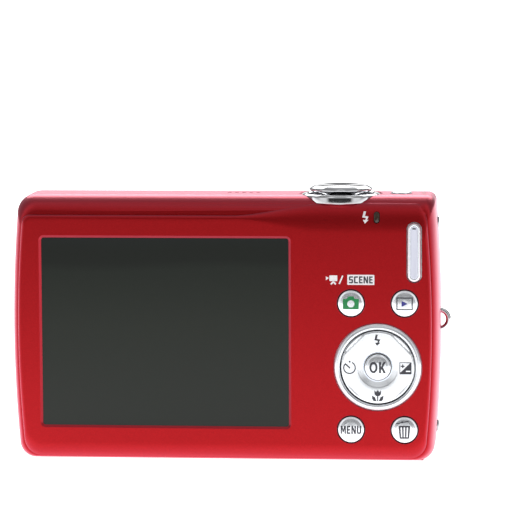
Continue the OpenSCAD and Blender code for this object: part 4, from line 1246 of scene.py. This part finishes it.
# %% Lens rings and barrels
lens_at = (ring.x, 0, ring.z)
lens_parts = {
    "lens_trim_ring": ("camera_body", "silver_ring", "lens_ring", bright_ring, [
        (13.7, 8.05), (14.85, 8.05), (14.85, 9.05), (16.6, 9.05), (16.6, 9.22, 0.05), (16.3, 9.55, 0.15),
        (15.5, 9.84, 0.3), (14.6, 9.76, 0.2), (14.0, 9.36, 0.1), (13.7, 9.1)]),
    "outer_zoom_barrel": ("lens_outer", "lens_barrel", "barrel_outer", barrel_metal, [
        (12.75, -0.6), (13.35, -0.6), (13.35, 9.02), (13.3, 9.18, 0.06), (13.12, 9.25, 0.06),
        (12.06, 9.25, 0.04), (12, 9.19), (12, 8.7), (12.75, 8.7)]),
    "lens_black_bezel": ("lens_inner", "black_plastic", "lens_bezel", black_satin, [
        (4.6, 8.5), (4.6, 8.72, 0.05), (5.15, 9.06, 0.1), (5.7, 9.1), (5.78, 9.19), (6.5, 9.21), (6.6, 9.12),
        (6.75, 9.12), (6.85, 9.24), (8.4, 9.3), (8.5, 9.21), (8.65, 9.21), (8.75, 9.31), (10.4, 9.4, 0.1),
        (11.02, 9.4), (11.02, 8.5)]),
    "front_lens_element": ("lens_inner", "lens_glass", "front_lens", coated_glass, [
        (0, 6.95), (2, 6.87, 2), (3.6, 6.6, 2), (4.9, 6.12, 1), (5.6, 5.6, 0.1), (5.6, 4.6), (0, 4.4)]),
    "rear_lens_element": ("focus_group", "lens_glass", "rear_lens", coated_glass, [
        (0, -0.55), (1.6, -0.62, 1), (3, -0.8, 1), (4, -1.1, 0.1), (4, -1.9), (3, -2.05), (0, -2.15)])}
for name, (body, slot_name, node, finish, profile) in lens_parts.items():
    piece(name, lathe(profile, lens_at, "Y", 192), finish, 35, body, slot_name, node)
print("made", len(lens_parts), "lens rings and elements")

# %% [markdown]
# The inner barrel is one more lathe profile, with the pegs on which the two cover blades swing.

# %% Inner barrel
BLADE_PIVOT = (8.2, 0.6)
inner_profile = [
    (10.9, -0.4), (11.8, -0.4), (11.8, 9.22), (11.76, 9.34, 0.05), (11.62, 9.4, 0.05), (11.16, 9.4, 0.04),
    (11.1, 9.34), (11.1, 7.7), (4.7, 7.7), (4.7, 7.1), (5.6, 7.1), (5.6, 4.4), (6.3, 4.4), (6.3, 7.1),
    (10.9, 7.1)]
peg_profile = [(0, 7.5), (0.4, 7.5), (0.4, 8.34), (0.34, 8.4), (0, 8.4)]
pegs = [lathe(peg_profile, (ring.x - side * BLADE_PIVOT[0], 0, ring.z + side * BLADE_PIVOT[1]), "Y", 32)
        for side in (-1, 1)]
piece("inner_zoom_barrel", join(lathe(inner_profile, lens_at, "Y", 192), *pegs), barrel_metal, 35,
      "lens_inner", "lens_barrel", "barrel_inner")
print("inner barrel with", len(pegs), "pegs for the lens cover's blades")

# %% [markdown]
# A row of equal bars serves twice: as the prisms that spread the flash behind its window, and, as a cutter,
# for the finger grooves in the battery door. Geometry Nodes set one round bar on a line of points.

# %% Row of bars
def bar_tree(material):
    """Round bars along X, stepped along the direction that the start point's attribute gives."""
    tree, size = new_tree("row_of_bars", {"Count": 1, "Pitch": 1.0, "Length": 1.0, "Radius": 1.0})

    def at_start(value):
        inputs = {"Geometry": size["Geometry"], "Value": value, "Index": 0}
        return add(tree, "GeometryNodeSampleIndex", inputs, data_type="FLOAT_VECTOR").outputs["Value"]

    def scaled(vector, factor):
        inputs = {0: vector, "Scale": factor}
        return add(tree, "ShaderNodeVectorMath", inputs, operation="SCALE").outputs["Vector"]

    step = at_start(scaled(facing(tree), size["Pitch"]))
    first = at_start(add(tree, "GeometryNodeInputPosition").outputs["Position"])
    index = add(tree, "GeometryNodeInputIndex").outputs["Index"]
    half_row = maths(tree, "MULTIPLY", maths(tree, "SUBTRACT", size["Count"], 1.0), 0.5)
    offset = scaled(step, maths(tree, "SUBTRACT", index, half_row))
    spot = add(tree, "ShaderNodeVectorMath", {0: first, 1: offset}, operation="ADD").outputs["Vector"]
    line = add(tree, "GeometryNodeMeshLine", {"Count": size["Count"]}, mode="OFFSET").outputs["Mesh"]
    points = add(tree, "GeometryNodeSetPosition", {"Geometry": line, "Position": spot})
    bar = add(tree, "GeometryNodeMeshCylinder", {
        "Vertices": 20, "Radius": size["Radius"], "Depth": size["Length"]})
    laid = add(tree, "GeometryNodeTransform", {
        "Geometry": bar.outputs["Mesh"], "Rotation": (0, math.radians(90), 0)})
    placed = add(tree, "GeometryNodeInstanceOnPoints", {
        "Points": points.outputs["Geometry"], "Instance": laid.outputs["Geometry"]})
    end_tree(tree, placed.outputs["Instances"], material)
    return tree


bars = bar_tree(clear_acrylic)


def row_of_bars(name, centre, way, count, **sizes):
    scaled = {key.capitalize(): value * MM for key, value in sizes.items()}
    return grow(name, start_points(name, [(centre, way)]), bars, {"Count": count, **scaled})


print("made", bars.name)

# %% [markdown]
# The flash window is a clear sheet with a row of fine prisms, which spread the light. The focus
# lamp has a small window of its own.

# %% Flash window and focus lamp
PRISMS = 11
flash_low, flash_high = span("flash_window")


def flash_sheet():
    near, far = flash_low.y, flash_high.y
    steps = [(0.5, near + 0.15), (0.5, near + 0.68), (0, near + 0.7), (0, far - 0.2),
             (-0.06, far - 0.05, 0.05), (-0.3, far)]
    return stack(steps, *FLASH_SIZE, 0.7, flash)


def prism_row():
    prisms = row_of_bars("flash_prisms", (flash.x, flash_low.y + 0.25, flash.z), (0, 0, 1), count=PRISMS,
                         pitch=0.52, length=12.4, radius=0.2)
    data = bmesh.new()
    data.from_mesh(prisms)
    bmesh.ops.scale(data, vec=(1 / MM, 1 / MM, 1 / MM), verts=data.verts)
    return data


def focus_lamp_profile():
    return [(0, front + 0.15), (0.7, front + 0.13, 0.5), (1.4, front + 0.04, 0.5), (1.88, front - 0.12, 0.1),
            (1.9, front - 0.95), (2.6, front - 0.95), (2.6, front - 1.5), (0, front - 1.5)]


piece("flash_prism_window", join(flash_sheet(), prism_row()), clear_acrylic, 35,
      "camera_body", "clear_window", "flash_window")
piece("focus_lamp_window", lathe(focus_lamp_profile(), (af_lamp.x, 0, af_lamp.z), "Y", 64), amber_acrylic, 40,
      "camera_body", "amber_window", "af_lamp_window")
print("flash window with", PRISMS, "prisms")

# %% [markdown]
# The battery door is a moulded plate in the body's colour that turns on a steel pin. Its long edges are
# rounded, grooves near the free end help a fingernail to slide it, and a small engraved triangle shows
# the way. Hinge barrel, ribs and catch tongues are parts of the same moulding.

# %% Battery door
DOOR_THICK = 1.1
BARREL_RADIUS = 0.7
GROOVES = 5


def door_plate():
    """The flat plate, from its free edge to half a millimetre before the pin."""
    width, deep = door_high.x - door_low.x, pin.y - 0.5 - door_low.y
    plate_at = (middle("battery_door").x, door_low.y + deep / 2, 0)
    steps = [(-0.35, 0), (-0.1, 0.03, 0.1), (0, 0.3, 0.2), (0, DOOR_THICK - 0.1), (-0.1, DOOR_THICK)]
    return stack(steps, width, deep, 0.35, plate_at, "Z")


def triangle_mark():
    tip = door_low.x + 7.2
    return loft([[(tip, -0.9, z), (tip + 2.2, -2.1, z), (tip + 2.2, 0.3, z)] for z in (-1, 0.15)])


def finger_grooves():
    grooves = row_of_bars("grooves", (0, 0, 0), (0, 1, 0), count=GROOVES, pitch=0.9, length=5.0, radius=0.34)
    grooves.transform(Matrix.Translation(Vector((door_low.x + 3.65, -0.9, -0.12)) * MM)
                      @ Matrix.Rotation(math.radians(90), 4, "Z"))
    return finish_object("groove_cutter", grooves, steel)


def hinge_barrel():
    near, far, r = door_low.x, door_high.x, BARREL_RADIUS
    profile = [(0, near + 0.1), (r - 0.08, near + 0.1), (r, near + 0.2), (r, far - 0.2),
               (r - 0.08, far - 0.1), (0, far - 0.1)]
    return lathe(profile, (0, pin.y, pin.z), "X", 64)


def rib(x0, x1, y0, y1, tall):
    steps = [(0, DOOR_THICK - 0.3), (0, tall - 0.12), (-0.12, tall)]
    return stack(steps, x1 - x0, y1 - y0, 0.15, ((x0 + x1) / 2, (y0 + y1) / 2, 0), "Z")


def door_shape():
    """The whole moulding. Marks are cut first and the pin's bore last, which keeps the mesh closed."""
    door = solid(door_plate(), "door_plate")
    carve(door, solid(triangle_mark()))
    carve(door, finger_grooves())
    carve(door, solid(hinge_barrel()), "UNION")
    for sides in ((door_low.x + 2, door_high.x - 6, 1.6, 2.2, 2.0),
                  (door_high.x - 1.6, door_high.x - 0.6, -4.6, -3.8, 1.9),
                  (door_low.x + 4, door_low.x + 5, -4.6, -3.8, 1.9)):
        carve(door, solid(rib(*sides)), "UNION")
    bore = rod(PIN_BORE, door_low.x - 1, door_high.x + 1)
    return carve(door, solid(lathe(bore, (0, pin.y, pin.z), "X", 32)))


door_mesh = door_shape()
battery_flap = finish_object("battery_flap", door_mesh.data, red_paint, 30)
bpy.data.objects.remove(door_mesh)
place_piece(battery_flap, "door", "painted_cover", "battery_door")
print("door", round(door_high.x - door_low.x, 1), "mm long, with", GROOVES, "grooves")

# %% [markdown]
# The tripod socket is a turned steel bush with a real internal thread: a quarter inch, twenty turns to the
# inch, so a pitch of 1.27 mm. The thread is a wire of the thread's depth wound into the bore.

# %% Tripod socket
THREAD_PITCH = 25.4 / 20
socket_profile = [(5.0, 0), (5.2, 0.2, 0.05), (5.2, 0.85), (4.4, 0.85), (4.4, 6.4), (0, 6.4), (0, 5.6),
                  (3.05, 5.6), (3.05, 0.5), (3.5, 0, 0.05)]


def thread_path(turns=4, steps=40):
    for i in range(turns * steps + 1):
        a = 2 * math.pi * i / steps
        yield 3.08 * math.cos(a), 3.08 * math.sin(a), 0.65 + THREAD_PITCH * 0.9 * i / steps


socket_bush = join(lathe(socket_profile, (0, 0, 0), "Z", 128), sweep(thread_path(), 0.4, 10))
piece("tripod_bush", socket_bush, steel, 35, "camera_body", "pressed_steel", "tripod_socket")
print("tripod thread pitch", THREAD_PITCH, "mm")

# %% [markdown]
# Printed symbols are thin films that follow the surface under them. Each starts as closed loops drawn flat,
# which Blender's curve fill turns into faces with the inner loops as holes. The faces are cut small, dropped
# onto the finished piece by casting rays, and given an ink film's thickness, so they are closed solids that
# ride with their key. The few words are set from simple letter shapes, drawn as loops like the symbols.

# %% Print on a surface
def surface_of(under):
    """A search tree of a finished piece's faces, in millimetres."""
    mesh = under.data
    return BVHTree.FromPolygons([v.co / MM for v in mesh.vertices], [p.vertices[:] for p in mesh.polygons])


def flat_faces(curve):
    """Mesh data of a filled curve, in millimetres."""
    drawn = bpy.data.objects.new("drawing", curve)
    bpy.context.scene.collection.objects.link(drawn)
    data = bmesh.new()
    data.from_mesh(baked(drawn))
    bmesh.ops.remove_doubles(data, verts=data.verts, dist=1e-5)
    return data


def lay_on(name, data, spot, under, ink_material, lift=0.02):
    """Drops flat faces onto a piece from behind the camera body and gives them an ink's thickness."""
    bmesh.ops.triangulate(data, faces=data.faces)
    for _ in range(3):
        long_edges = [e for e in data.edges if e.calc_length() > 0.45]
        bmesh.ops.subdivide_edges(data, edges=long_edges, cuts=1)
        bmesh.ops.triangulate(data, faces=data.faces)
    below = surface_of(under)
    for v in data.verts:
        x, z = spot[0] + v.co.x, spot[1] + v.co.y
        hit = below.ray_cast(Vector((x, back_face - 5, z)), Vector((0, 1, 0)))[0]
        v.co = (x, (hit.y if hit else back_face) + lift, z)
    film = bmesh.ops.extrude_face_region(data, geom=data.faces[:], use_keep_orig=True)["geom"]
    for v in (part for part in film if isinstance(part, bmesh.types.BMVert)):
        v.co.y -= 2 * lift
    return finish_mesh(name, data, ink_material, 30)


def symbol(name, loops, spot, under, ink_material, body, slot_name):
    curve = bpy.data.curves.new(name, "CURVE")
    curve.dimensions, curve.fill_mode = "2D", "BOTH"
    for loop in loops:
        spline = curve.splines.new("POLY")
        spline.points.add(len(loop) - 1)
        for point, (x, z) in zip(spline.points, loop):
            point.co = (x, z, 0, 1)
        spline.use_cyclic_u = True
    return place_piece(lay_on(name, flat_faces(curve), spot, under, ink_material), body, slot_name)


print("symbols are dropped along Y from", back_face - 5, "mm")

# %% [markdown]
# The symbols are the usual ones: a camera and a framed triangle on the upper keys, the word MENU and a bin
# on the lower ones, and flash, self-timer, exposure and close-up around the disc. Each is a function that
# returns its loops about its own centre, in millimetres, and rounded corners come from `soften`.

# %% Shapes for the symbols
def box_loop(width, tall, x=0.0, z=0.0, corner=0.12):
    w, h = width / 2, tall / 2
    return soften([(x + w, z + h, corner), (x - w, z + h, corner), (x - w, z - h, corner),
                   (x + w, z - h, corner)], 4)


def oval(x, z, half_wide, half_tall, steps=32):
    return [(x + half_wide * math.cos(a), z + half_tall * math.sin(a))
            for a in (2 * math.pi * i / steps for i in range(steps))]


def bolt_loop(tall):
    """A zigzag bolt with an arrow head."""
    shape = [(-0.30, 1.0), (0.08, 1.0), (-0.10, 0.26), (0.50, 0.14), (0.24, -0.42), (0.55, -0.36),
             (-0.10, -1.0), (-0.42, -0.38), (-0.04, -0.42), (0.08, -0.10), (-0.54, 0.02)]
    return [(x * tall / 2, z * tall / 2) for x, z in shape]


def arc_band(radius, stroke, first, last, steps=40):
    angles = [math.radians(mix(first, last, i / steps)) for i in range(steps + 1)]
    outer, inner = radius + stroke / 2, radius - stroke / 2
    there = [(outer * math.cos(a), outer * math.sin(a)) for a in angles]
    return there + [(inner * math.cos(a), inner * math.sin(a)) for a in reversed(angles)]


def bar_loop(x0, z0, x1, z1, stroke):
    along = Vector((x1 - x0, z1 - z0)).normalized() * stroke / 2
    side = Vector((-along.y, along.x))
    ends = (Vector((x0, z0)), Vector((x1, z1)))
    return [ends[0] + side, ends[0] - side, ends[1] - side, ends[1] + side]


def camera_loops():
    body = soften([(1.65, 0.98, 0.2), (0.80, 0.98), (0.55, 1.50, 0.15), (-0.55, 1.50, 0.15), (-0.80, 0.98),
                   (-1.65, 0.98, 0.2), (-1.65, -1.18, 0.2), (1.65, -1.18, 0.2)], 4)
    return [body, oval(0, -0.05, 0.74, 0.74, 40)]


def frame_loops():
    return [box_loop(3.4, 2.66, corner=0.05), box_loop(2.92, 2.18, corner=0.04)]


def play_loops():
    return [[(-0.62, 0.62), (-0.62, -0.62), (0.66, 0.0)]]


def bin_loops():
    can = soften([(1.22, 0.95, 0.2), (-1.22, 0.95, 0.2), (-0.98, -1.78, 0.25), (0.98, -1.78, 0.25)], 4)
    panes = [soften([(x + 0.15 * (1 + 0.12 * x), 0.62, 0.05), (x - 0.15 * (1 - 0.12 * x), 0.62, 0.05),
                     (0.86 * x - 0.13, -1.46, 0.05), (0.86 * x + 0.13, -1.46, 0.05)], 3)
             for x in (-0.64, 0.0, 0.64)]
    return [can, *panes]


def lid_loops():
    return [soften([(-1.75, 1.22), (-0.80, 1.44), (-0.62, 1.80, 0.1), (-0.20, 1.90, 0.1), (-0.18, 1.58),
                    (0.95, 1.84), (0.92, 2.02), (-1.78, 1.42)], 3)]


def timer_loops():
    return [arc_band(1.2, 0.24, 65, -215), bar_loop(-0.95, 0.85, 0.12, -0.08, 0.3),
            oval(0.02, 1.26, 0.2, 0.2, 16)]


def exposure_loops():
    """A square parted by a diagonal: a plus in its light half, a minus in its dark half."""
    light = [(-1.08, -0.92), (0.92, 1.08), (-1.08, 1.08)]
    steps = ((0, 0.13), (0.28, 0.13), (0.28, 0.4), (0.54, 0.4), (0.54, 0.13), (0.82, 0.13), (0.82, -0.13),
             (0.54, -0.13), (0.54, -0.4), (0.28, -0.4), (0.28, -0.13), (0, -0.13))
    plus = [(-0.98 + dx, 0.42 + dz) for dx, dz in steps]
    return [box_loop(2.5, 2.5, corner=0.05), light, plus, box_loop(0.9, 0.26, 0.55, -0.62, 0.02)]


def tulip_loops():
    flower = soften([(-0.70, 1.18, 0.04), (-0.35, 0.74), (0, 1.18, 0.04), (0.35, 0.74), (0.70, 1.18, 0.04),
                     (0.68, 0.30, 0.2), (0.36, -0.04, 0.15), (0.12, -0.12), (0.12, -1.18), (-0.12, -1.18),
                     (-0.12, -0.12), (-0.36, -0.04, 0.15), (-0.68, 0.30, 0.2)], 3)
    leaf = [(-1.20, 0.02), (-0.58, -0.34), (-0.22, -1.18), (-0.86, -1.14, 0.2), (-1.14, -0.66, 0.2)]
    return [flower, soften(leaf, 3), soften([(-p[0], *p[1:]) for p in leaf], 3)]


def film_camera_loops():
    body = soften([(1.28, 0.90, 0.1), (-0.36, 0.90, 0.1), (-0.36, -0.28, 0.1), (1.28, -0.28, 0.1)], 3)
    horn = [(-1.08, 0.72), (-0.46, 0.34), (-1.08, -0.10)]
    stand = [(0.28, -0.34), (0.64, -0.34), (1.10, -0.86), (0.84, -1.06), (0.46, -0.66), (0.08, -1.06),
             (-0.18, -0.86)]
    return [body, horn, stand]


print("the bin is drawn with", len(bin_loops()), "loops")

# %% [markdown]
# The function words need eight letters. A font would fill badly at this size, so each letter is one or two
# plain loops in strokes two tenths as thick as it is tall, which is how a cut stencil for the print would be
# made. A word is then fitted to its measured width and height.

# %% Letter shapes
# Each letter is drawn 10 high: its width, and its loops.
LETTERS = {
    "M": (7.6, [[(0, 0), (0, 10), (2.4, 10), (3.8, 5.0), (5.2, 10), (7.6, 10), (7.6, 0), (5.7, 0), (5.7, 6.2),
                 (4.5, 2.0), (3.1, 2.0), (1.9, 6.2), (1.9, 0)]]),
    "E": (5.0, [[(0, 0), (0, 10), (5, 10), (5, 8.1), (2, 8.1), (2, 6.0), (4.6, 6.0), (4.6, 4.2), (2, 4.2),
                 (2, 1.9), (5, 1.9), (5, 0)]]),
    "N": (6.4, [[(0, 0), (0, 10), (2.1, 10), (4.5, 4.2), (4.5, 10), (6.4, 10), (6.4, 0), (4.3, 0), (1.9, 5.8),
                 (1.9, 0)]]),
    "U": (6.2, [[(0, 10), (0, 0, 2.6), (6.2, 0, 2.6), (6.2, 10), (4.2, 10), (4.2, 1.8, 1.0), (2, 1.8, 1.0),
                 (2, 10)]]),
    "O": (8.0, [oval(4, 5, 4, 5), oval(4, 5, 2, 3.1)]),
    "K": (6.8, [[(0, 0), (0, 10), (2, 10), (2, 5.6), (4.3, 10), (6.6, 10), (3.9, 5.3), (6.8, 0), (4.4, 0),
                 (2.6, 3.6), (2, 2.7), (2, 0)]]),
    "S": (5.6, [[(5.6, 8.1), (5.6, 10, 0.8), (0, 10, 1.6), (0, 4.1, 1.2), (3.7, 4.1, 0.3), (3.7, 1.9, 0.3),
                 (0, 1.9), (0, 0), (5.6, 0, 1.6), (5.6, 5.9, 1.2), (1.9, 5.9, 0.3), (1.9, 8.1, 0.3)]]),
    "C": (5.6, [[(5.6, 8.1), (5.6, 10, 1.4), (0, 10, 1.6), (0, 0, 1.6), (5.6, 0, 1.4), (5.6, 1.9),
                 (2, 1.9, 0.4), (2, 8.1, 0.4)]])}
LETTER_GAP = 1.4


def word_loops(text, width, tall):
    """Loops of a word, fitted to a width and a height about its centre."""
    total = sum(LETTERS[letter][0] + LETTER_GAP for letter in text) - LETTER_GAP
    start, loops = -total / 2, []
    for letter in text:
        for loop in LETTERS[letter][1]:
            loops.append([((start + p.x) * width / total, (p.y - 5) * tall / 10) for p in soften(loop, 4)])
        start += LETTERS[letter][0] + LETTER_GAP
    return loops


print("letters drawn:", " ".join(LETTERS))

# %% [markdown]
# Each key carries its symbol in ink, laid on its own surface.

# %% Symbols on the keys
def at(spot, dx=0.0, dz=0.0):
    return spot.x + dx, spot.z + dz


key_prints = (
    ("camera_symbol", camera_loops(), "mode", green_ink),
    ("frame_symbol", frame_loops(), "playback", grey_ink),
    ("play_symbol", play_loops(), "playback", violet_ink),
    ("bin_symbol", bin_loops(), "delete", grey_ink),
    ("bin_lid_symbol", lid_loops(), "delete", grey_ink),
    ("menu_word", word_loops("MENU", 4.3, 1.7), "menu", grey_ink))
for label, loops, name, ink_material in key_prints:
    symbol(label, loops, at(KEYS[name]), key_caps[name], ink_material, name + "_key", "pearl_key")
symbol("ok_word", word_loops("OK", 3.45, 2.35), at(selector), ok_cap, grey_ink, "ok_key", "pearl_key")
disc_prints = (
    ("flash_symbol", [bolt_loop(2.4)], -0.05, 5.65), ("timer_symbol", timer_loops(), -5.85, -0.1),
    ("exposure_symbol", exposure_loops(), 5.75, -0.15), ("close_up_symbol", tulip_loops(), 0, -5.9))
for label, loops, dx, dz in disc_prints:
    symbol(label, loops, at(selector, dx, dz), disc, grey_ink, "selector_disc", "pearl_key")
print("printed the keys:", len(key_prints) + len(disc_prints) + 1, "marks")

# %% [markdown]
# The cover is printed in the same way, with a legend above the mode key and a flash symbol beside
# the lamp.

# %% Symbols on the cover
legend = at(KEYS["mode"], 0, 4.9)
scene_at = (legend[0] + 2.05, legend[1])


def cover_print(name, loops, spot, under=rear_cover, ink_material=white_ink):
    return symbol(name, loops, spot, under, ink_material, "camera_body", "painted_cover")


cover_print("film_symbol", film_camera_loops(), (legend[0] - 4.1, legend[1]))
cover_print("legend_slash", [bar_loop(-0.36, -0.86, 0.36, 0.86, 0.3)], (legend[0] - 2.05, legend[1]))
plate_mark = cover_print("scene_plate", [box_loop(5.6, 2.1, corner=0.15)], scene_at)
cover_print("scene_word", word_loops("SCENE", 4.9, 1.45), scene_at, plate_mark, grey_ink)
cover_print("flash_ready_symbol", [bolt_loop(2.5)], at(lamp, -2.3))
symbol("zoom_mark", [bar_loop(-0.35, 0, 0.35, 0, 0.3)], at(rocker, 0, ROCKER_SIZE[1] / 2 - 1.15), inlay,
       grey_ink, "zoom_lever", "pearl_key")
print("printed the cover, with a legend at", [round(v, 1) for v in legend])

# %% [markdown]
# The pieces that keep their mechanical shape are mostly inside: boards, gears, the battery, the card and the
# pressed frames. Each still gets the finish of its real material, because the open door, the open lens cover
# and any cut-away view show them.

# %% Finishes for the inner pieces
card_plastic = moulded("blue_card_plastic", "16305E", "1C3A70", 0.40)
brass = plated_metal("brass", "C9A451", (0.20, 0.32))
inner_finish = {
    black_plastic: ("monitor_panel", "speaker", "top_switches", "lens_base", "shutter_unit", "focus_holder",
                    "cam_ring"),
    black_satin: ("cover_blade_upper", "cover_blade_lower"),
    steel: ("monitor_frame", "cable_connector", "card_slot", "key_domes", "zoom_motor", "door_hinge_pin"),
    grey_plastic: ("inner_chassis",), gold: ("battery_contacts",), brass: ("motor_pinion",),
    board: ("main_board", "sensor_board"), polyimide: ("key_board",), chrome: ("flash_reflector",),
    clear_acrylic: ("flash_tube",), sleeve: ("flash_capacitor", "battery"), card_plastic: ("memory_card",),
    orange_plastic: ("battery_latch",), acetal: ("idler_gear", "compound_gear"),
    soft_rubber: ("selector_seat",)}
for finish, names in inner_finish.items():
    for name in names:
        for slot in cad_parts[name].material_slots:
            slot.material = finish
print("finished", sum(len(names) for names in inner_finish.values()), "inner pieces")

# %% [markdown]
# The stage is a light table in a pale room, and a world gradient makes the room. The band just above the
# horizon is the brightest, so edges that look away turn pale. The room behind the photographer is dark, as a
# studio is: the top of the back panel, the domed keys and the chrome reflect it and show their form. Two
# bright walls stand aslant, left and right, and what lies beyond them is a calm grey.

# %% Room light
def grey_level(level):
    return (level, level, level, 1)


def sky(tree, rise):
    """Brightness by height: the horizon is at 0.5 and straight up at 1."""
    levels = ((0.58, 1), (0.64, 0.2), (0.72, 0.3), (0.78, 0.62), (0.88, 0.62), (0.96, 0.5), (1, 0.5))
    return ramp(tree, rise, *((place, grey_level(level)) for place, level in levels))


def dark_end(tree, rise):
    levels = ((0.49, 0.04), (0.53, 0.28), (0.60, 0.2), (0.69, 0.12))
    return ramp(tree, rise, *((place, grey_level(level)) for place, level in levels))


def room_light():
    world = bpy.data.worlds.new("studio_room")
    world.use_nodes = True
    tree = world.node_tree
    direction = add(tree, "ShaderNodeTexCoord").outputs["Generated"]
    split = add(tree, "ShaderNodeSeparateXYZ", {"Vector": direction}).outputs
    rise = spread(tree, split["Z"], -1, 1)
    level_run = add(tree, "ShaderNodeCombineXYZ", {"X": split["X"], "Y": split["Y"]}).outputs["Vector"]
    flat_run = add(tree, "ShaderNodeVectorMath", {0: level_run}, operation="NORMALIZE").outputs["Vector"]
    around = add(tree, "ShaderNodeSeparateXYZ", {"Vector": flat_run}).outputs
    sideways = maths(tree, "ABSOLUTE", around["X"])
    low_part = spread(tree, split["Z"], 0.55, 0.30)
    behind = spread(tree, around["Y"], -0.72, -0.86)
    room = blend(tree, maths(tree, "MULTIPLY", low_part, behind), sky(tree, rise), dark_end(tree, rise))
    walled = blend(tree, spread(tree, sideways, 0.52, 0.74), room, grey_level(1))
    far_half = maths(tree, "MULTIPLY", spread(tree, around["Y"], -0.2, 0), spread(tree, sideways, 0.25, 0.45))
    calm = maths(tree, "MAXIMUM", spread(tree, sideways, 0.84, 0.96), far_half)
    glow = tree.nodes["Background"]
    tree.links.new(blend(tree, calm, walled, grey_level(0.3)), glow.inputs["Color"])
    glow.inputs["Strength"].default_value = 1.0
    return world


bpy.context.scene.world = room_light()
print("made the room light")

# %% [markdown]
# The table is matt acrylic over a lamp box. It is brightest under the camera body, so its white shows below
# and behind the body without a horizon, and it fades towards its near edge, which the back panel reflects as
# a soft gradient. One large lamp behind and above gives the top its sheen.

# %% Light table and lamp
TABLE = {"left": -4, "right": 4, "near": -0.40, "far": 7, "top": -0.00003}


def light_table():
    material, tree, shader, place = base_material(
        "backlit_white_acrylic", "FAFAFA", Roughness=0.9, Specular_IOR_Level=0.1,
        Emission_Color=srgb("FFFFFF"))
    depth = add(tree, "ShaderNodeSeparateXYZ", {"Vector": place}).outputs["Y"]
    fade = spread(tree, depth, TABLE["near"], -0.05, 0.15, 1.15)
    tree.links.new(fade, shader.inputs["Emission Strength"])
    grain(tree, shader, noise(tree, place, 1.5), 0.01, 0.1)
    return material


def soft_lamp(name, place, size, watts, target=(0, 0, 0.03)):
    light = bpy.data.lights.new(name, "AREA")
    light.shape, light.size, light.size_y, light.energy = "RECTANGLE", *size, watts
    made = bpy.data.objects.new(name, light)
    bpy.context.scene.collection.objects.link(made)
    made.location = place
    made.rotation_euler = (Vector(place) - Vector(target)).to_track_quat("Z", "Y").to_euler()
    return made


soft_lamp("back_softbox", (0.0, 1.2, 0.9), (1.4, 0.7), 12)
table_mesh = bpy.data.meshes.new("white_card_floor")
table_mesh.from_pydata([(x, y, TABLE["top"]) for y in (TABLE["near"], TABLE["far"])
                        for x in (TABLE["left"], TABLE["right"])], [], [(0, 1, 3, 2)])
table_mesh.materials.append(light_table())
floor = bpy.data.objects.new("white_card_floor", table_mesh)
bpy.context.scene.collection.objects.link(floor)
bpy.context.scene.view_settings.view_transform = "Standard"
print("stage ready, the table's near edge at", TABLE["near"], "m")
